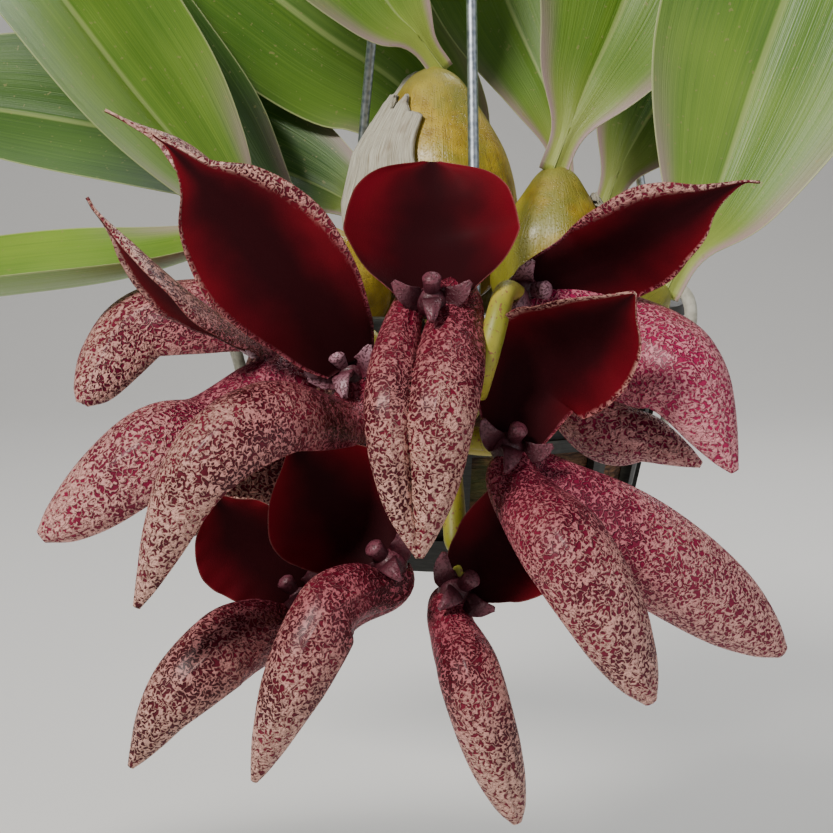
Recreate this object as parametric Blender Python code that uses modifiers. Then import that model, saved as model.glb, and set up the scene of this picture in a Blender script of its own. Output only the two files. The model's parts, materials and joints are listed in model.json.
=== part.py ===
"""A bulbophyllum orchid in flower, growing in a hanging net basket.

The plant is a creeping rhizome with pseudobulbs, one leaf on each, and an umbel of large
fleshy flowers that hangs over the front of the basket. Three wires and a hook carry it.
Every number below is in millimetres or degrees, and MM turns it into metres.

The basket frame has its origin in the middle of the rim plane, with the front at -Y.
The umbel frame has its origin where the flower stalks meet, and is tipped back a little.
The object's own origin is the seat of the hook, HANG_DROP above the rim.
"""

import math
import random
from collections import namedtuple

import bmesh
import bpy
import numpy as np
from mathutils import Euler, Matrix, Vector

MM = 0.001
GAP = 0.3
FINE_STEPS = 81

HANG_DROP = 250.0
RIM_RADIUS = 46.5
RIM_DEPTH = 3.0
WALL_TOP_RADIUS = 44.3
FOOT_RADIUS = 34.0
BASKET_HEIGHT = 50.0
WALL = 2.0
RIBS_ROUND = 16
RIB_WIDTH = 3.2
WINDOW_ROWS = 2
ROW_GAP = 2.6
FLOOR_SLOTS = 8
TURN_STEPS = 32

WIRE_RADIUS = 1.0
HOOK_RADIUS = 1.25
HOOK_ARC = 10.0
HOOK_SHANK = 34.0
EYE_RADIUS = 7.0
LUG_REACH = 2.6
LUG_SIZE = (7.0, 7.0, 2.4)
LUG_HOLE_RADIUS = 1.45
LUG_AZIMUTHS = {"front": 272.6, "right": 30.0, "left": 118.0}

BED_CENTRE_Z = -9.0
BED_WALL_Z = -14.0
BED_RADIUS = 36.0
BARK_CHIPS = 18

UMBEL_PLACE = (-2.0, -64.0, -18.0)
UMBEL_TIP = -8.0
NECK = 7.0
NECK_RADII = (1.9, 1.6)
PEDICEL_RADII = (1.5, 1.5, 2.1, 1.7)
CORE_RADIUS = 2.8
COLUMN_RADII = (1.2, 1.4, 1.8)
PETAL_HALF_WIDTH = 2.1
LIP_HALF_WIDTH = 2.0
LEAST_HALF_WIDTH = 0.8
LEAF_CUP = 32.0

# Thickness of each kind of blade, along its middle and at its edges.
DORSAL_THICKNESS = (1.6, 0.7)
LATERAL_THICKNESS = (2.2, 0.9)
PETAL_THICKNESS = (0.8, 0.7)
LIP_THICKNESS = (1.6, 1.0)
LEAF_THICKNESS = (1.3, 0.8)
SHEATH_THICKNESS = (0.6, 0.6)
SEPAL_GRID = (7, 5)
PETAL_GRID = (3, 3)
LEAF_GRID = (10, 5)

DORSAL = ((0, 0.40), (0.15, 0.70), (0.4, 0.98), (0.6, 1), (0.8, 0.72), (0.92, 0.3), (1, 0.04))
TUSK = ((0, 0.55), (0.15, 0.8), (0.35, 1), (0.6, 0.9), (0.8, 0.6), (0.93, 0.3), (1, 0.07))
STRAP = ((0, 0.5), (0.3, 1), (0.7, 0.7), (1, 0.2))
LEAF = ((0, 0.12), (0.06, 0.16), (0.14, 0.5), (0.3, 0.9), (0.5, 1), (0.7, 0.93), (0.87, 0.6),
        (0.96, 0.25), (1, 0.03))
BULB = ((0, 0), (0.1, 0.62), (0.3, 0.97), (0.45, 1), (0.65, 0.86), (0.85, 0.5), (0.95, 0.28),
        (1, 0))

VELVET = ((0.13, 0.008, 0.014), 0.55)
OCHRE = ((0.42, 0.28, 0.06), 0.4)
GREEN = ((0.24, 0.31, 0.05), 0.4)
PAPER = ((0.5, 0.42, 0.3), 0.8)
BARK = ((0.12, 0.06, 0.03), 0.9)
ROOT = ((0.35, 0.3, 0.2), 0.7)
STALK = ((0.33, 0.3, 0.1), 0.45)
PLASTIC = ((0.02, 0.022, 0.02), 0.5)
STEEL = ((0.36, 0.4, 0.45), 0.35)

Sepal = namedtuple("Sepal", "route half_width faces cup curl", defaults=((0, 0),))
Bloom = namedtuple("Bloom", "base dorsal laterals")

# The flowers, in the umbel frame. A route runs along the middle of a sepal from its base to
# its tip, and faces is the way that its dark inner face looks. Curl rolls a margin back.
BLOOMS = {
    "a": Bloom(
        (-4, -20, 22),
        Sepal([(-4, -20, 22), (-4, -10, 33), (-4, -8, 43.5), (-5, -2, 46)], 17, (0, -1, 0), 42),
        [Sepal([(-8, -20, 21), (-11, -34, 5), (-10, -32, -10), (-6.5, -28, -21)], 5, (-0.1, 1, -0.2), 60),
         Sepal([(0, -20, 22), (-3, -35, 5), (-4, -33, -8), (-6, -28, -21)], 8, (0.1, 1, -0.2), 65)]),
    "b": Bloom(
        (-18, -10, 10),
        Sepal([(-18, -12, 12), (-29, -20, 27), (-45, -26, 45)], 13, (-0.35, -1, -0.15), 40, (0, 70)),
        [Sepal([(-18, -14, 4), (-30, -34, 5), (-44, -40, -6), (-53, -32, -29)], 9.5, (0.3, 1, -0.35), 62),
         Sepal([(-17, -6, 4), (-28, -2, -3), (-41, 0, -10), (-51, -4, -20)], 8, (0.2, 1, -0.3), 55)]),
    "c": Bloom(
        (-32, 2, 15),
        Sepal([(-32, 0, 14), (-46, -12, 23), (-60, -18, 36)], 10, (-0.55, -0.15, -0.8), 45),
        [Sepal([(-35, 8, 21), (-47, 10, 23), (-59, 10, 20), (-67, 4, 5)], 9.5, (0.1, 0.9, -0.5), 60),
         Sepal([(-31, -8, 11), (-41, -14, 1.5), (-54, -20, -3), (-71, -18, -18)], 10.5, (0.2, 1, -0.3), 60)]),
    "d": Bloom(
        (-11, -18, -23),
        Sepal([(-11, -18, -22), (-20, -13, -13), (-28, -18, -2)], 14, (-0.1, -1, 0.1), 40),
        [Sepal([(-12, -20, -26), (-21, -30, -30), (-28, -32, -43), (-34, -24, -59)], 7.5, (0.2, 1, 0.1), 62),
         Sepal([(-12, -14, -27), (-21.5, -16, -31), (-28, -16, -44), (-33, -10, -55)], 6.5,
               (0.1, 1, 0), 55)]),
    "e": Bloom(
        (9, -16, -3),
        Sepal([(9, -16, -3), (12.8, -12, 9), (22, -20, 16.5), (29.5, -32, 23)], 12.5, (0.15, -1, -0.1), 40),
        [Sepal([(11, -22, -9), (17, -36, -17), (25, -38, -30), (32.5, -30, -45)], 9, (-0.1, 1, 0), 62),
         Sepal([(15, -14, -10), (33.5, -18, -21), (46, -14, -29.5), (58, -6, -39)], 10.5,
               (-0.2, 1, 0.1), 60)]),
    "f": Bloom(
        (12, -6, 25),
        Sepal([(12, -6, 25.5), (24.5, -6, 29.5), (35.5, -14, 36.5), (47.5, -20, 42)], 10,
              (0.1, -0.85, -0.5), 40, (70, 0)),
        [Sepal([(15, -6, 22), (28, -8, 17.5), (40.5, -14, 10.5), (49, -10, -7)], 12, (-0.2, 1, -0.2), 60),
         Sepal([(16, 0, 20), (26, -3, 1), (35, -3, -2), (44, -2, -6)], 8, (0, 1, 0.2), 50)]),
    "g": Bloom(
        (0, -12, -28),
        Sepal([(1, -11, -27), (4.5, -10, -24), (10, -8, -20), (16, 2, -16)], 11, (0, -1, 0), 40),
        [Sepal([(-1, -16, -32), (2, -26, -40), (6, -26, -53), (10.6, -18, -67)], 6.5, (0, 1, 0), 62),
         Sepal([(-1, -8, -32), (2, -8, -42), (6, -6, -53), (9, -2, -62)], 5.5, (0, 1, 0), 55)]),
    "h": Bloom(
        (-22, 8, 24),
        Sepal([(-22, 8, 25), (-34, 6, 38), (-47, 2, 50), (-58, -2, 55)], 10, (-0.2, 0.35, -0.9), 42),
        [Sepal([(-23, 8, 22), (-31, 15, 15), (-37, 18, 4), (-42, 14, -8)], 7, (0.2, 1, 0), 55),
         Sepal([(-22, 10, 22), (-26, 18, 14), (-28, 20, 2), (-30, 16, -10)], 7, (0.2, 1, 0), 55)]),
    "i": Bloom(
        (-27, -2, -30),
        Sepal([(-27, -3, -28), (-35, -6, -20), (-42, -12, -11)], 11, (-0.3, -1, 0.1), 45),
        [Sepal([(-29, -8, -33), (-39.5, -18, -37), (-49, -20, -46), (-56, -14, -58)], 8, (0.2, 1, 0), 60),
         Sepal([(-29, -2, -34), (-39, -6, -38), (-47, -6, -46), (-52, 0, -54)], 7, (0.2, 1, 0), 55)]),
}

Bulb = namedtuple("Bulb", "base top radius")

# The pseudobulbs, in the basket frame, each from its base to its top.
BULBS = {
    1: Bulb((-4.6, 2, -4), (-5, 2, 47), 17),
    2: Bulb((18, -22, -8), (18.5, -22, 28), 12),
    3: Bulb((16, -55, -10), (38, -43, 6), 8.5),
    4: Bulb((-15, -20, -2), (-37, -30, 17), 8.5),
    5: Bulb((-25, -5, -8), (-35, -9, 11), 9.5),
    6: Bulb((-30.2, 14, -8.4), (-31, 12, 8), 8.5),
    7: Bulb((2, 30, -8), (3, 31, 20), 10),
    8: Bulb((30, 1, -8), (30, 2, 18), 10),
    9: Bulb((22, 20, -8), (22, 21, 22), 10),
    10: Bulb((-17, 26, -8), (-17, 27, 12), 9),
}

Leaf = namedtuple("Leaf", "route half_width faces")

# One leaf stands on each pseudobulb and takes its number. Routes are in the basket frame.
LEAVES = {
    1: Leaf([(-5, 2, 47.5), (-9, 1, 53), (-15, 0, 60), (-30, -3, 84), (-50, -4, 112), (-66, 0, 136),
             (-74, 6, 150)], 23, (0.3, -1, 0.2)),
    2: Leaf([(18.5, -22, 28.5), (24, -19, 42), (32, -12, 59), (46, -1, 95), (62, 10, 128), (74, 24, 155)],
            24, (0, -1, 0.2)),
    3: Leaf([(38.5, -42.7, 6.6), (42, -41, 13), (48, -36, 24), (57, -29, 48), (70, -20, 80), (86, -5, 112),
             (98, 10, 136)], 25, (0, -1, 0.2)),
    4: Leaf([(-35.3, -9.2, 11.5), (-40.7, -12, 16), (-48.7, -15, 24), (-63.6, -16, 42), (-79.5, -16, 63),
             (-98, -13, 86), (-114, -8, 104), (-126, -2, 114)], 22, (0.35, -0.6, 0.7)),
    5: Leaf([(-31, 12, 8.5), (-38, 12, 16), (-48, 14, 27), (-62, 18, 44), (-80, 20, 67), (-98, 18, 87),
             (-112, 16, 99)], 19, (0.6, -0.6, 0.5)),
    6: Leaf([(-37.3, -30.2, 17.4), (-46, -33, 13.5), (-64, -36, 8.5), (-92, -38, 5), (-120, -38, 1),
             (-146, -36, -5), (-158, -34, -10)], 22, (0, -0.14, 1)),
    7: Leaf([(-17, 27, 12.5), (-28, 35, 20), (-50, 40, 28), (-80, 44, 34), (-110, 46, 38), (-135, 46, 36)],
            22, (0.1, -0.7, 0.7)),
    8: Leaf([(3, 31, 20.5), (0, 42, 29), (-13, 50, 43), (-32, 52, 56), (-62, 54, 80), (-86, 56, 104),
             (-104, 62, 122)], 24, (0.2, -1, 0.3)),
    9: Leaf([(22, 21, 22.5), (20, 24, 38), (10, 31, 62), (-2, 36, 95), (-14, 39, 130), (-22, 43, 158)],
            18, (0, -1, 0.2)),
    10: Leaf([(30, 2, 18.5), (35, 5, 30), (49, 10, 52), (72, 18, 84), (95, 26, 112), (112, 34, 132)],
             23, (0, -1, 0.3)),
}

# Each sheath: the pseudobulb that it clings to, and the turn and the height that it covers.
SHEATHS = {1: (1, (95, 255), (0.15, 0.86)), 2: (2, (-35, 95), (0.3, 0.8)), 3: (9, (140, 260), (0.2, 0.7))}

# The rhizome creeps from bulb to bulb just under their bases, and over the rim to the newest.
RHIZOME_RADIUS = 3.2
RHIZOME = [(-31, 13, -11.6), (-26, 21, -12), (-17, 27, -11.6), (-8, 29, -12), (2, 30, -11.6),
           (13, 26, -12), (22, 20, -11.6), (28, 11, -12), (30, 1, -11.6), (26, -12, -12),
           (18, -22, -11.6), (16.4, -29, -8.5), (15.4, -33.4, -3.2), (14.6, -36.6, 2),
           (13.8, -40.8, 4.3), (12.6, -45.5, 4.8), (11.2, -50.4, 3), (10.2, -53, -2),
           (10.6, -56, -8.5), (14.4, -56.4, -12.6)]
RHIZOME_BRANCH = [(-31, 13, -11.6), (-30, 4, -12), (-25, -5, -11.6), (-20, -14, -8.6), (-15, -20, -5.6),
                  (-4, -25, -9), (8, -26, -11), (18, -22, -11.6)]
RHIZOME_TO_FIRST = [(-25, -5, -11.6), (-14, 0, -9.2), (-4.6, 2, -6.7), (-1, 2.6, -6.7)]
ROOT_RADIUS = 1.3
ROOT_AZIMUTHS = (66, 104, 139, 176, 262, 335)

STALK_START = (16.2, -57.0, -15.2)


def numbered(kind, number):
    return f"{kind}_{number}"


def material(name, look):
    made = bpy.data.materials.new(name)
    made.use_nodes = True
    shader = made.node_tree.nodes["Principled BSDF"]
    shader.inputs["Base Color"].default_value = (*look[0], 1)
    shader.inputs["Roughness"].default_value = look[1]
    shader.inputs["Metallic"].default_value = 1 if look is STEEL else 0
    return made


def place(obj, parent, look):
    """Gives a finished object its material, its parent and smooth shading."""
    obj.parent = parent
    obj.data.materials.clear()
    obj.data.materials.append(material(obj.name, look))
    obj.data.shade_smooth()
    obj.data.set_sharp_from_angle(angle=math.radians(40))
    if obj.name not in orchid.objects:
        orchid.objects.link(obj)
    return obj


def frozen(obj):
    """Returns a plain mesh object in place of one that still has modifiers or is a curve."""
    bpy.context.view_layer.update()
    graph = bpy.context.evaluated_depsgraph_get()
    mesh = bpy.data.meshes.new_from_object(obj.evaluated_get(graph))
    if obj.type == "CURVE":
        bm = bmesh.new()
        bm.from_mesh(mesh)
        bmesh.ops.remove_doubles(bm, verts=bm.verts, dist=0.005 * MM)
        bmesh.ops.recalc_face_normals(bm, faces=bm.faces)
        bm.to_mesh(mesh)
        bm.free()
    name = obj.name
    matrix = obj.matrix_world.copy()
    bpy.data.objects.remove(obj)
    result = bpy.data.objects.new(name, mesh)
    result.matrix_world = matrix
    workshop.objects.link(result)
    return result


def largest_body(obj):
    """Drops any loose scrap or sealed bubble that a join has left beside the main body."""
    bm = bmesh.new()
    bm.from_mesh(obj.data)
    unseen = set(bm.verts)
    bodies = []
    while unseen:
        edge = [unseen.pop()]
        body = set(edge)
        while edge:
            for link in edge.pop().link_edges:
                for vert in link.verts:
                    if vert in unseen:
                        unseen.remove(vert)
                        body.add(vert)
                        edge.append(vert)
        bodies.append(body)
    main = max(bodies, key=len)
    bmesh.ops.delete(bm, geom=[vert for vert in bm.verts if vert not in main], context="VERTS")
    bm.to_mesh(obj.data)
    bm.free()
    return obj


def joined(name, pieces, operation="UNION", solver="EXACT"):
    """Fuses the later pieces with the first one, or cuts them out of it, in one Boolean."""
    others = bpy.data.collections.new(name + "_pieces")
    bpy.context.scene.collection.children.link(others)
    base = pieces[0]
    for piece in pieces[1:]:
        workshop.objects.unlink(piece)
        others.objects.link(piece)
    cut = base.modifiers.new("join", "BOOLEAN")
    cut.operation = operation
    cut.operand_type = "COLLECTION"
    cut.collection = others
    cut.solver = solver
    result = frozen(base)
    for piece in list(others.objects):
        bpy.data.objects.remove(piece)
    bpy.data.collections.remove(others)
    result.name = name
    result.data.name = name
    return largest_body(result)


def from_bmesh(name, bm):
    mesh = bpy.data.meshes.new(name)
    bm.to_mesh(mesh)
    bm.free()
    obj = bpy.data.objects.new(name, mesh)
    workshop.objects.link(obj)
    return obj


def smooth_line(points, count):
    """Reads count points at equal steps along a Catmull-Rom curve through the given ones."""
    p = np.array(points, float)
    p = np.vstack([2 * p[0] - p[1], p, 2 * p[-1] - p[-2]])
    t = np.linspace(0, 1, 24, endpoint=False)[:, None]
    spans = []
    for a, b, c, d in zip(p, p[1:], p[2:], p[3:]):
        spans.append(0.5 * (2 * b + (c - a) * t + (2 * a - 5 * b + 4 * c - d) * t**2
                            + (3 * b - a - 3 * c + d) * t**3))
    dense = np.vstack(spans + [p[-2:-1]])
    length = np.concatenate([[0], np.cumsum(np.linalg.norm(np.diff(dense, axis=0), axis=1))])
    where = np.linspace(0, length[-1], count)
    return np.stack([np.interp(where, length, dense[:, k]) for k in range(3)], axis=1)


def unit(vectors):
    vectors = np.asarray(vectors, float)
    return vectors / np.linalg.norm(vectors, axis=-1, keepdims=True)


def blade_surface(route, faces, outline, half_width, cup, grid, curl=(0, 0)):
    """The middle surface of a petal or leaf, as rows of points across its route.

    Across each row the surface turns steadily toward the inner face, up to the cup angle at
    the margins. Curl turns the outer part of a margin back again, left and right apart.
    """
    rows, columns = grid
    middle = smooth_line(route, rows)
    tangent = unit(np.gradient(middle, axis=0))
    toward = unit(faces)
    normal = unit(toward - tangent * (tangent @ toward)[:, None])
    side = np.cross(tangent, normal)
    share = np.interp(np.linspace(0, 1, rows), *zip(*outline))
    width = np.maximum(half_width * share, LEAST_HALF_WIDTH)
    fine = np.linspace(-1, 1, FINE_STEPS)
    bend = np.clip((np.abs(fine) - 0.5) / 0.5, 0, 1) ** 1.5
    heading = np.radians(cup * fine - np.where(fine < 0, -curl[0], curl[1]) * bend)
    step = fine[1] - fine[0]
    between = (heading[1:] + heading[:-1]) / 2
    sideways = np.concatenate([[0], np.cumsum(np.cos(between))]) * step
    lift = np.concatenate([[0], np.cumsum(np.sin(between))]) * step
    across = np.linspace(-1, 1, columns)
    middle_step = FINE_STEPS // 2
    sideways = np.interp(across, fine, sideways - sideways[middle_step])
    lift = np.interp(across, fine, lift - lift[middle_step])
    return (middle[:, None] + width[:, None, None]
            * (sideways[None, :, None] * side[:, None] + lift[None, :, None] * normal[:, None]))


def blade(name, surface, thickness):
    """A solid round a surface of rows and columns, with a thickness in its middle and at its edges."""
    middle_thickness, edge_thickness = thickness
    rows, columns = surface.shape[:2]
    widths = np.linalg.norm(surface[:, -1] - surface[:, 0], axis=1)
    fullness = np.clip(2.2 * widths / widths.max(), 0, 1)
    bm = bmesh.new()
    bmesh.ops.create_grid(bm, x_segments=rows - 1, y_segments=columns - 1, size=1)
    weights = bm.verts.layers.deform.verify()
    for vert in bm.verts:
        row = round((vert.co.x + 1) / 2 * (rows - 1))
        column = round((vert.co.y + 1) / 2 * (columns - 1))
        vert[weights][0] = (1 - abs(vert.co.y)) * float(fullness[row])
        vert.co = Vector(surface[row, column] * MM)
    bmesh.ops.triangulate(bm, faces=bm.faces, quad_method="FIXED")
    obj = from_bmesh(name, bm)
    obj.vertex_groups.new(name="middle")
    solid = obj.modifiers.new("thickness", "SOLIDIFY")
    solid.thickness = middle_thickness * MM
    solid.offset = 0
    solid.vertex_group = "middle"
    solid.thickness_vertex_group = edge_thickness / middle_thickness
    return frozen(obj)


def tube(name, points, radii, resolution=1):
    """A round tube along points, as a curve with a bevel, made a mesh with its caps welded."""
    curve = bpy.data.curves.new(name, "CURVE")
    curve.dimensions = "3D"
    curve.bevel_depth = MM
    curve.bevel_resolution = resolution
    curve.use_fill_caps = True
    spline = curve.splines.new("POLY")
    spline.points.add(len(points) - 1)
    for knot, point, radius in zip(spline.points, points, np.broadcast_to(radii, len(points))):
        knot.co = (*(np.array(point) * MM), 1)
        knot.radius = float(radius)
    obj = bpy.data.objects.new(name, curve)
    workshop.objects.link(obj)
    return frozen(obj)


def ball(name, centre, radius, segments=8, rings=5, stretch=(1, 1, 1)):
    bm = bmesh.new()
    bmesh.ops.create_uvsphere(bm, u_segments=segments, v_segments=rings, radius=radius * MM)
    for vert in bm.verts:
        vert.co = Vector(stretch) * vert.co + Vector(centre) * MM
    return from_bmesh(name, bm)


def polar(radius, azimuth, z):
    turn = math.radians(azimuth)
    return (radius * math.cos(turn), radius * math.sin(turn), z)


def wall_radius(z):
    """The outer radius of the basket's wall at a height below the rim band."""
    down = (-z - RIM_DEPTH) / (BASKET_HEIGHT - RIM_DEPTH)
    return WALL_TOP_RADIUS + (FOOT_RADIUS - WALL_TOP_RADIUS) * min(max(down, 0), 1)


def turned(name, profile):
    """A Screw of a profile of radius and height that runs down the outer side."""
    bm = bmesh.new()
    verts = [bm.verts.new((radius * MM, 0, z * MM)) for radius, z in profile]
    for low, high in zip(verts, verts[1:]):
        bm.edges.new((low, high))
    obj = from_bmesh(name, bm)
    screw = obj.modifiers.new("turn", "SCREW")
    screw.steps = TURN_STEPS
    screw.render_steps = TURN_STEPS
    screw.use_merge_vertices = True
    screw.merge_threshold = 0.0001
    return frozen(obj)


def box(name, size, matrix):
    bm = bmesh.new()
    bmesh.ops.create_cube(bm, size=1)
    for vert in bm.verts:
        vert.co = matrix @ (Vector(size) * vert.co * MM)
    return from_bmesh(name, bm)


def radial(azimuth, radius, z):
    """The place and turn of something set on the basket, with its own X pointing outwards."""
    return (Matrix.Translation(Vector(polar(radius, azimuth, z)) * MM)
            @ Matrix.Rotation(math.radians(azimuth), 4, "Z"))


def make_basket():
    inner_floor = -BASKET_HEIGHT + WALL
    profile = [(0, inner_floor), (FOOT_RADIUS - WALL, inner_floor),
               (WALL_TOP_RADIUS - WALL, -RIM_DEPTH), (WALL_TOP_RADIUS - WALL + 0.4, 0),
               (RIM_RADIUS, 0), (RIM_RADIUS, -RIM_DEPTH + 0.6),
               (WALL_TOP_RADIUS, -RIM_DEPTH), (FOOT_RADIUS, -BASKET_HEIGHT), (0, -BASKET_HEIGHT)]
    shell = turned("basket_shell", profile)
    lug_radius = RIM_RADIUS + LUG_REACH
    lugs = []
    for azimuth in LUG_AZIMUTHS.values():
        where = radial(azimuth, lug_radius - 0.6, -LUG_SIZE[2] / 2 - 0.05)
        lugs.append(box("lug", LUG_SIZE, where))
    shell = joined("basket_with_lugs", [shell, *lugs])
    cutters = []
    for azimuth in LUG_AZIMUTHS.values():
        bm = bmesh.new()
        bmesh.ops.create_cone(bm, cap_ends=True, segments=12, radius1=LUG_HOLE_RADIUS * MM,
                              radius2=LUG_HOLE_RADIUS * MM, depth=10 * MM,
                              matrix=radial(azimuth, lug_radius, 0))
        cutters.append(from_bmesh("lug_hole", bm))
    row_height = (BASKET_HEIGHT - RIM_DEPTH - 8) / WINDOW_ROWS
    for row in range(WINDOW_ROWS):
        z = -RIM_DEPTH - 3 - row_height * (row + 0.5)
        across = 2 * math.pi * wall_radius(z) / RIBS_ROUND - RIB_WIDTH
        for rib in range(RIBS_ROUND):
            where = radial(360 / RIBS_ROUND * (rib + 0.5), wall_radius(z) - WALL / 2, z)
            cutters.append(box("window", (3 * WALL, across, row_height - ROW_GAP), where))
    for slot in range(FLOOR_SLOTS):
        where = radial(360 / FLOOR_SLOTS * slot, FOOT_RADIUS * 0.52, -BASKET_HEIGHT + WALL / 2)
        cutters.append(box("floor_slot", (18, RIB_WIDTH, 3 * WALL), where))
    place(joined("basket", [shell, *cutters], "DIFFERENCE"), basket_frame, PLASTIC)


def make_hanger():
    """Three wires through the lugs, hooked over the eye of one hook that carries the pot."""
    eye, arc = EYE_RADIUS, HOOK_ARC
    eye_z = HANG_DROP - HOOK_SHANK
    bend_z = HANG_DROP + HOOK_RADIUS - arc
    bpy.ops.mesh.primitive_torus_add(major_radius=eye * MM, minor_radius=HOOK_RADIUS * MM,
                                     major_segments=18, minor_segments=8)
    ring = bpy.context.object
    upright = Matrix.Rotation(math.radians(90), 4, "X")
    ring.data.transform(Matrix.Translation((0, 0, eye_z * MM)) @ upright)
    ring.users_collection[0].objects.unlink(ring)
    workshop.objects.link(ring)
    shank = [(0, 0, eye_z + eye - 0.2), (0, 0, eye_z + eye + 3), (0, -0.7 * arc, bend_z - 9)]
    for angle in np.radians(np.arange(180, -50, -20)):
        shank.append((0, arc * math.cos(angle), bend_z + arc * math.sin(angle)))
    place(joined("hanger_hook", [ring, tube("hook", shank, HOOK_RADIUS, 2)]), basket_frame, STEEL)
    lap = HOOK_RADIUS + WIRE_RADIUS + GAP + 0.25
    laps = ((-1, 0.0), (1, 3.2), (1, -3.2))
    for (where, azimuth), (side, x) in zip(LUG_AZIMUTHS.items(), laps):
        lug_x, lug_y, _ = polar(RIM_RADIUS + LUG_REACH, azimuth, 0)
        out_x, out_y, _ = polar(RIM_RADIUS + LUG_REACH + 3.4, azimuth, 0)
        seat = eye_z - math.sqrt(eye**2 - x**2)
        lower = [(out_x, out_y, -8.2), (lug_x, lug_y, -6.2), (lug_x, lug_y, -2),
                 (lug_x, lug_y, 3)]
        over = [(x, side * (lap + 0.6), seat - 7), (x, side * lap, seat)]
        for angle in np.radians((45, 90, 135)):
            over.append((x, side * lap * math.cos(angle), seat + lap * math.sin(angle)))
        over += [(x, -side * lap, seat), (x, -side * (lap + 0.2), seat - 5)]
        first, last = np.array(lower[-1]), np.array(over[0])
        run = smooth_line([first, first * 0.9 + last * 0.1, last], 6)
        points = lower[:-1] + [tuple(p) for p in run] + over[1:]
        place(tube(f"hanger_wire_{where}", points, WIRE_RADIUS, 2), basket_frame, STEEL)


def bulb_solid(name, bulb, grow=0.0, segments=12, rings=7):
    """A pseudobulb: a sphere drawn out along its axis, with seven faint lengthwise ribs."""
    base, top = Vector(bulb.base), Vector(bulb.top)
    axis = (top - base).normalized()
    across = axis.cross(Vector((0, 1, 0))).normalized()
    third = axis.cross(across)
    bm = bmesh.new()
    bmesh.ops.create_uvsphere(bm, u_segments=segments, v_segments=rings, radius=1)
    for vert in bm.verts:
        height = 1 - math.acos(max(-1, min(1, vert.co.z))) / math.pi
        turn = math.atan2(vert.co.y, vert.co.x)
        ribs = 1 + 0.03 * math.cos(7 * turn) * math.sin(math.pi * height)
        radius = float(bulb.radius * np.interp(height, *zip(*BULB)) * ribs)
        radius += grow if 0 < height < 1 else 0
        along = base.lerp(top, height) + axis * grow * (2 * height - 1)
        out = math.cos(turn) * across + math.sin(turn) * third
        vert.co = (along + radius * out) * MM
    return from_bmesh(name, bm)


def root_route(azimuth):
    """Over the bed and the rim, then down beside the wall, swaying a little."""
    sway = 4 * math.sin(azimuth)
    end = -34 - 8 * math.cos(azimuth)
    clear = ROOT_RADIUS + GAP + 0.5
    return [polar(23, azimuth, -10.4), polar(31, azimuth, -11), polar(37, azimuth + 0.3 * sway, -6),
            polar(40.4, azimuth + 0.5 * sway, 0.6), polar(43.6, azimuth + 0.7 * sway, 3),
            polar(RIM_RADIUS + 0.9, azimuth + 0.8 * sway, 2.6),
            polar(RIM_RADIUS + clear, azimuth + sway, -3),
            polar(wall_radius(-14) + clear + 1, azimuth + 2 * sway, -14),
            polar(wall_radius(end) + clear + 0.6, azimuth + 3.5 * sway, end)]


def rhizome_solid(name, grow=0.0):
    routes = [(RHIZOME, 28, RHIZOME_RADIUS), (RHIZOME_BRANCH, 13, RHIZOME_RADIUS * 0.97),
              (RHIZOME_TO_FIRST, 5, RHIZOME_RADIUS * 0.94)]
    pieces = []
    for route, count, radius in routes:
        points = smooth_line(route, count)
        rings = radius * (1 + 0.03 * np.cos(np.arange(count) * 2.4))
        rings[[0, -1]] *= 0.8
        pieces.append(tube(name + "_run", points, rings + grow, 1))
    for azimuth in ROOT_AZIMUTHS:
        points = smooth_line(root_route(azimuth), 11)
        taper = ROOT_RADIUS * np.interp(np.linspace(0, 1, 11), (0, 0.85, 1), (1.1, 0.95, 0.6))
        pieces.append(tube(name + "_root", points, taper + grow, 1))
    return joined(name, pieces)


def make_bed():
    """Bark that fills the basket up to the rhizome, with loose-looking chips on its top."""
    clear = WALL + GAP + 0.1
    floor = -BASKET_HEIGHT + WALL + GAP + 0.1
    bed_radius = wall_radius(BED_WALL_Z) - clear
    profile = [(0, BED_CENTRE_Z), (20, BED_CENTRE_Z - 1), (bed_radius - 4, BED_WALL_Z + 1.2),
               (bed_radius, BED_WALL_Z), (FOOT_RADIUS - clear + 0.3, floor), (0, floor)]
    bed = turned("bed", profile)
    draw = random.Random(11)
    chips = []
    for chip in range(BARK_CHIPS):
        reach = (BED_RADIUS - 2) * math.sqrt((chip + 0.5) / BARK_CHIPS)
        azimuth = chip * 137.5
        z = np.interp(reach, (0, 20, BED_RADIUS), (BED_CENTRE_Z, BED_CENTRE_Z - 1, BED_WALL_Z)) - 0.4
        turn = Euler([draw.uniform(-0.4, 0.4), draw.uniform(-0.4, 0.4), draw.uniform(0, 3)])
        size = (draw.uniform(6, 10), draw.uniform(4, 7), draw.uniform(2.4, 3.6))
        where = Matrix.Translation(Vector(polar(reach, azimuth, z)) * MM)
        chips.append(box("chip", size, where @ turn.to_matrix().to_4x4()))
    bed = joined("bed_with_chips", [bed, *chips])
    grown = [bulb_solid("grown", bulb, 0.4) for number, bulb in BULBS.items() if number != 3]
    bed = joined("bark_bed", [bed, rhizome_solid("rhizome_room", 0.4), *grown], "DIFFERENCE")
    place(bed, basket_frame, BARK)


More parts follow.
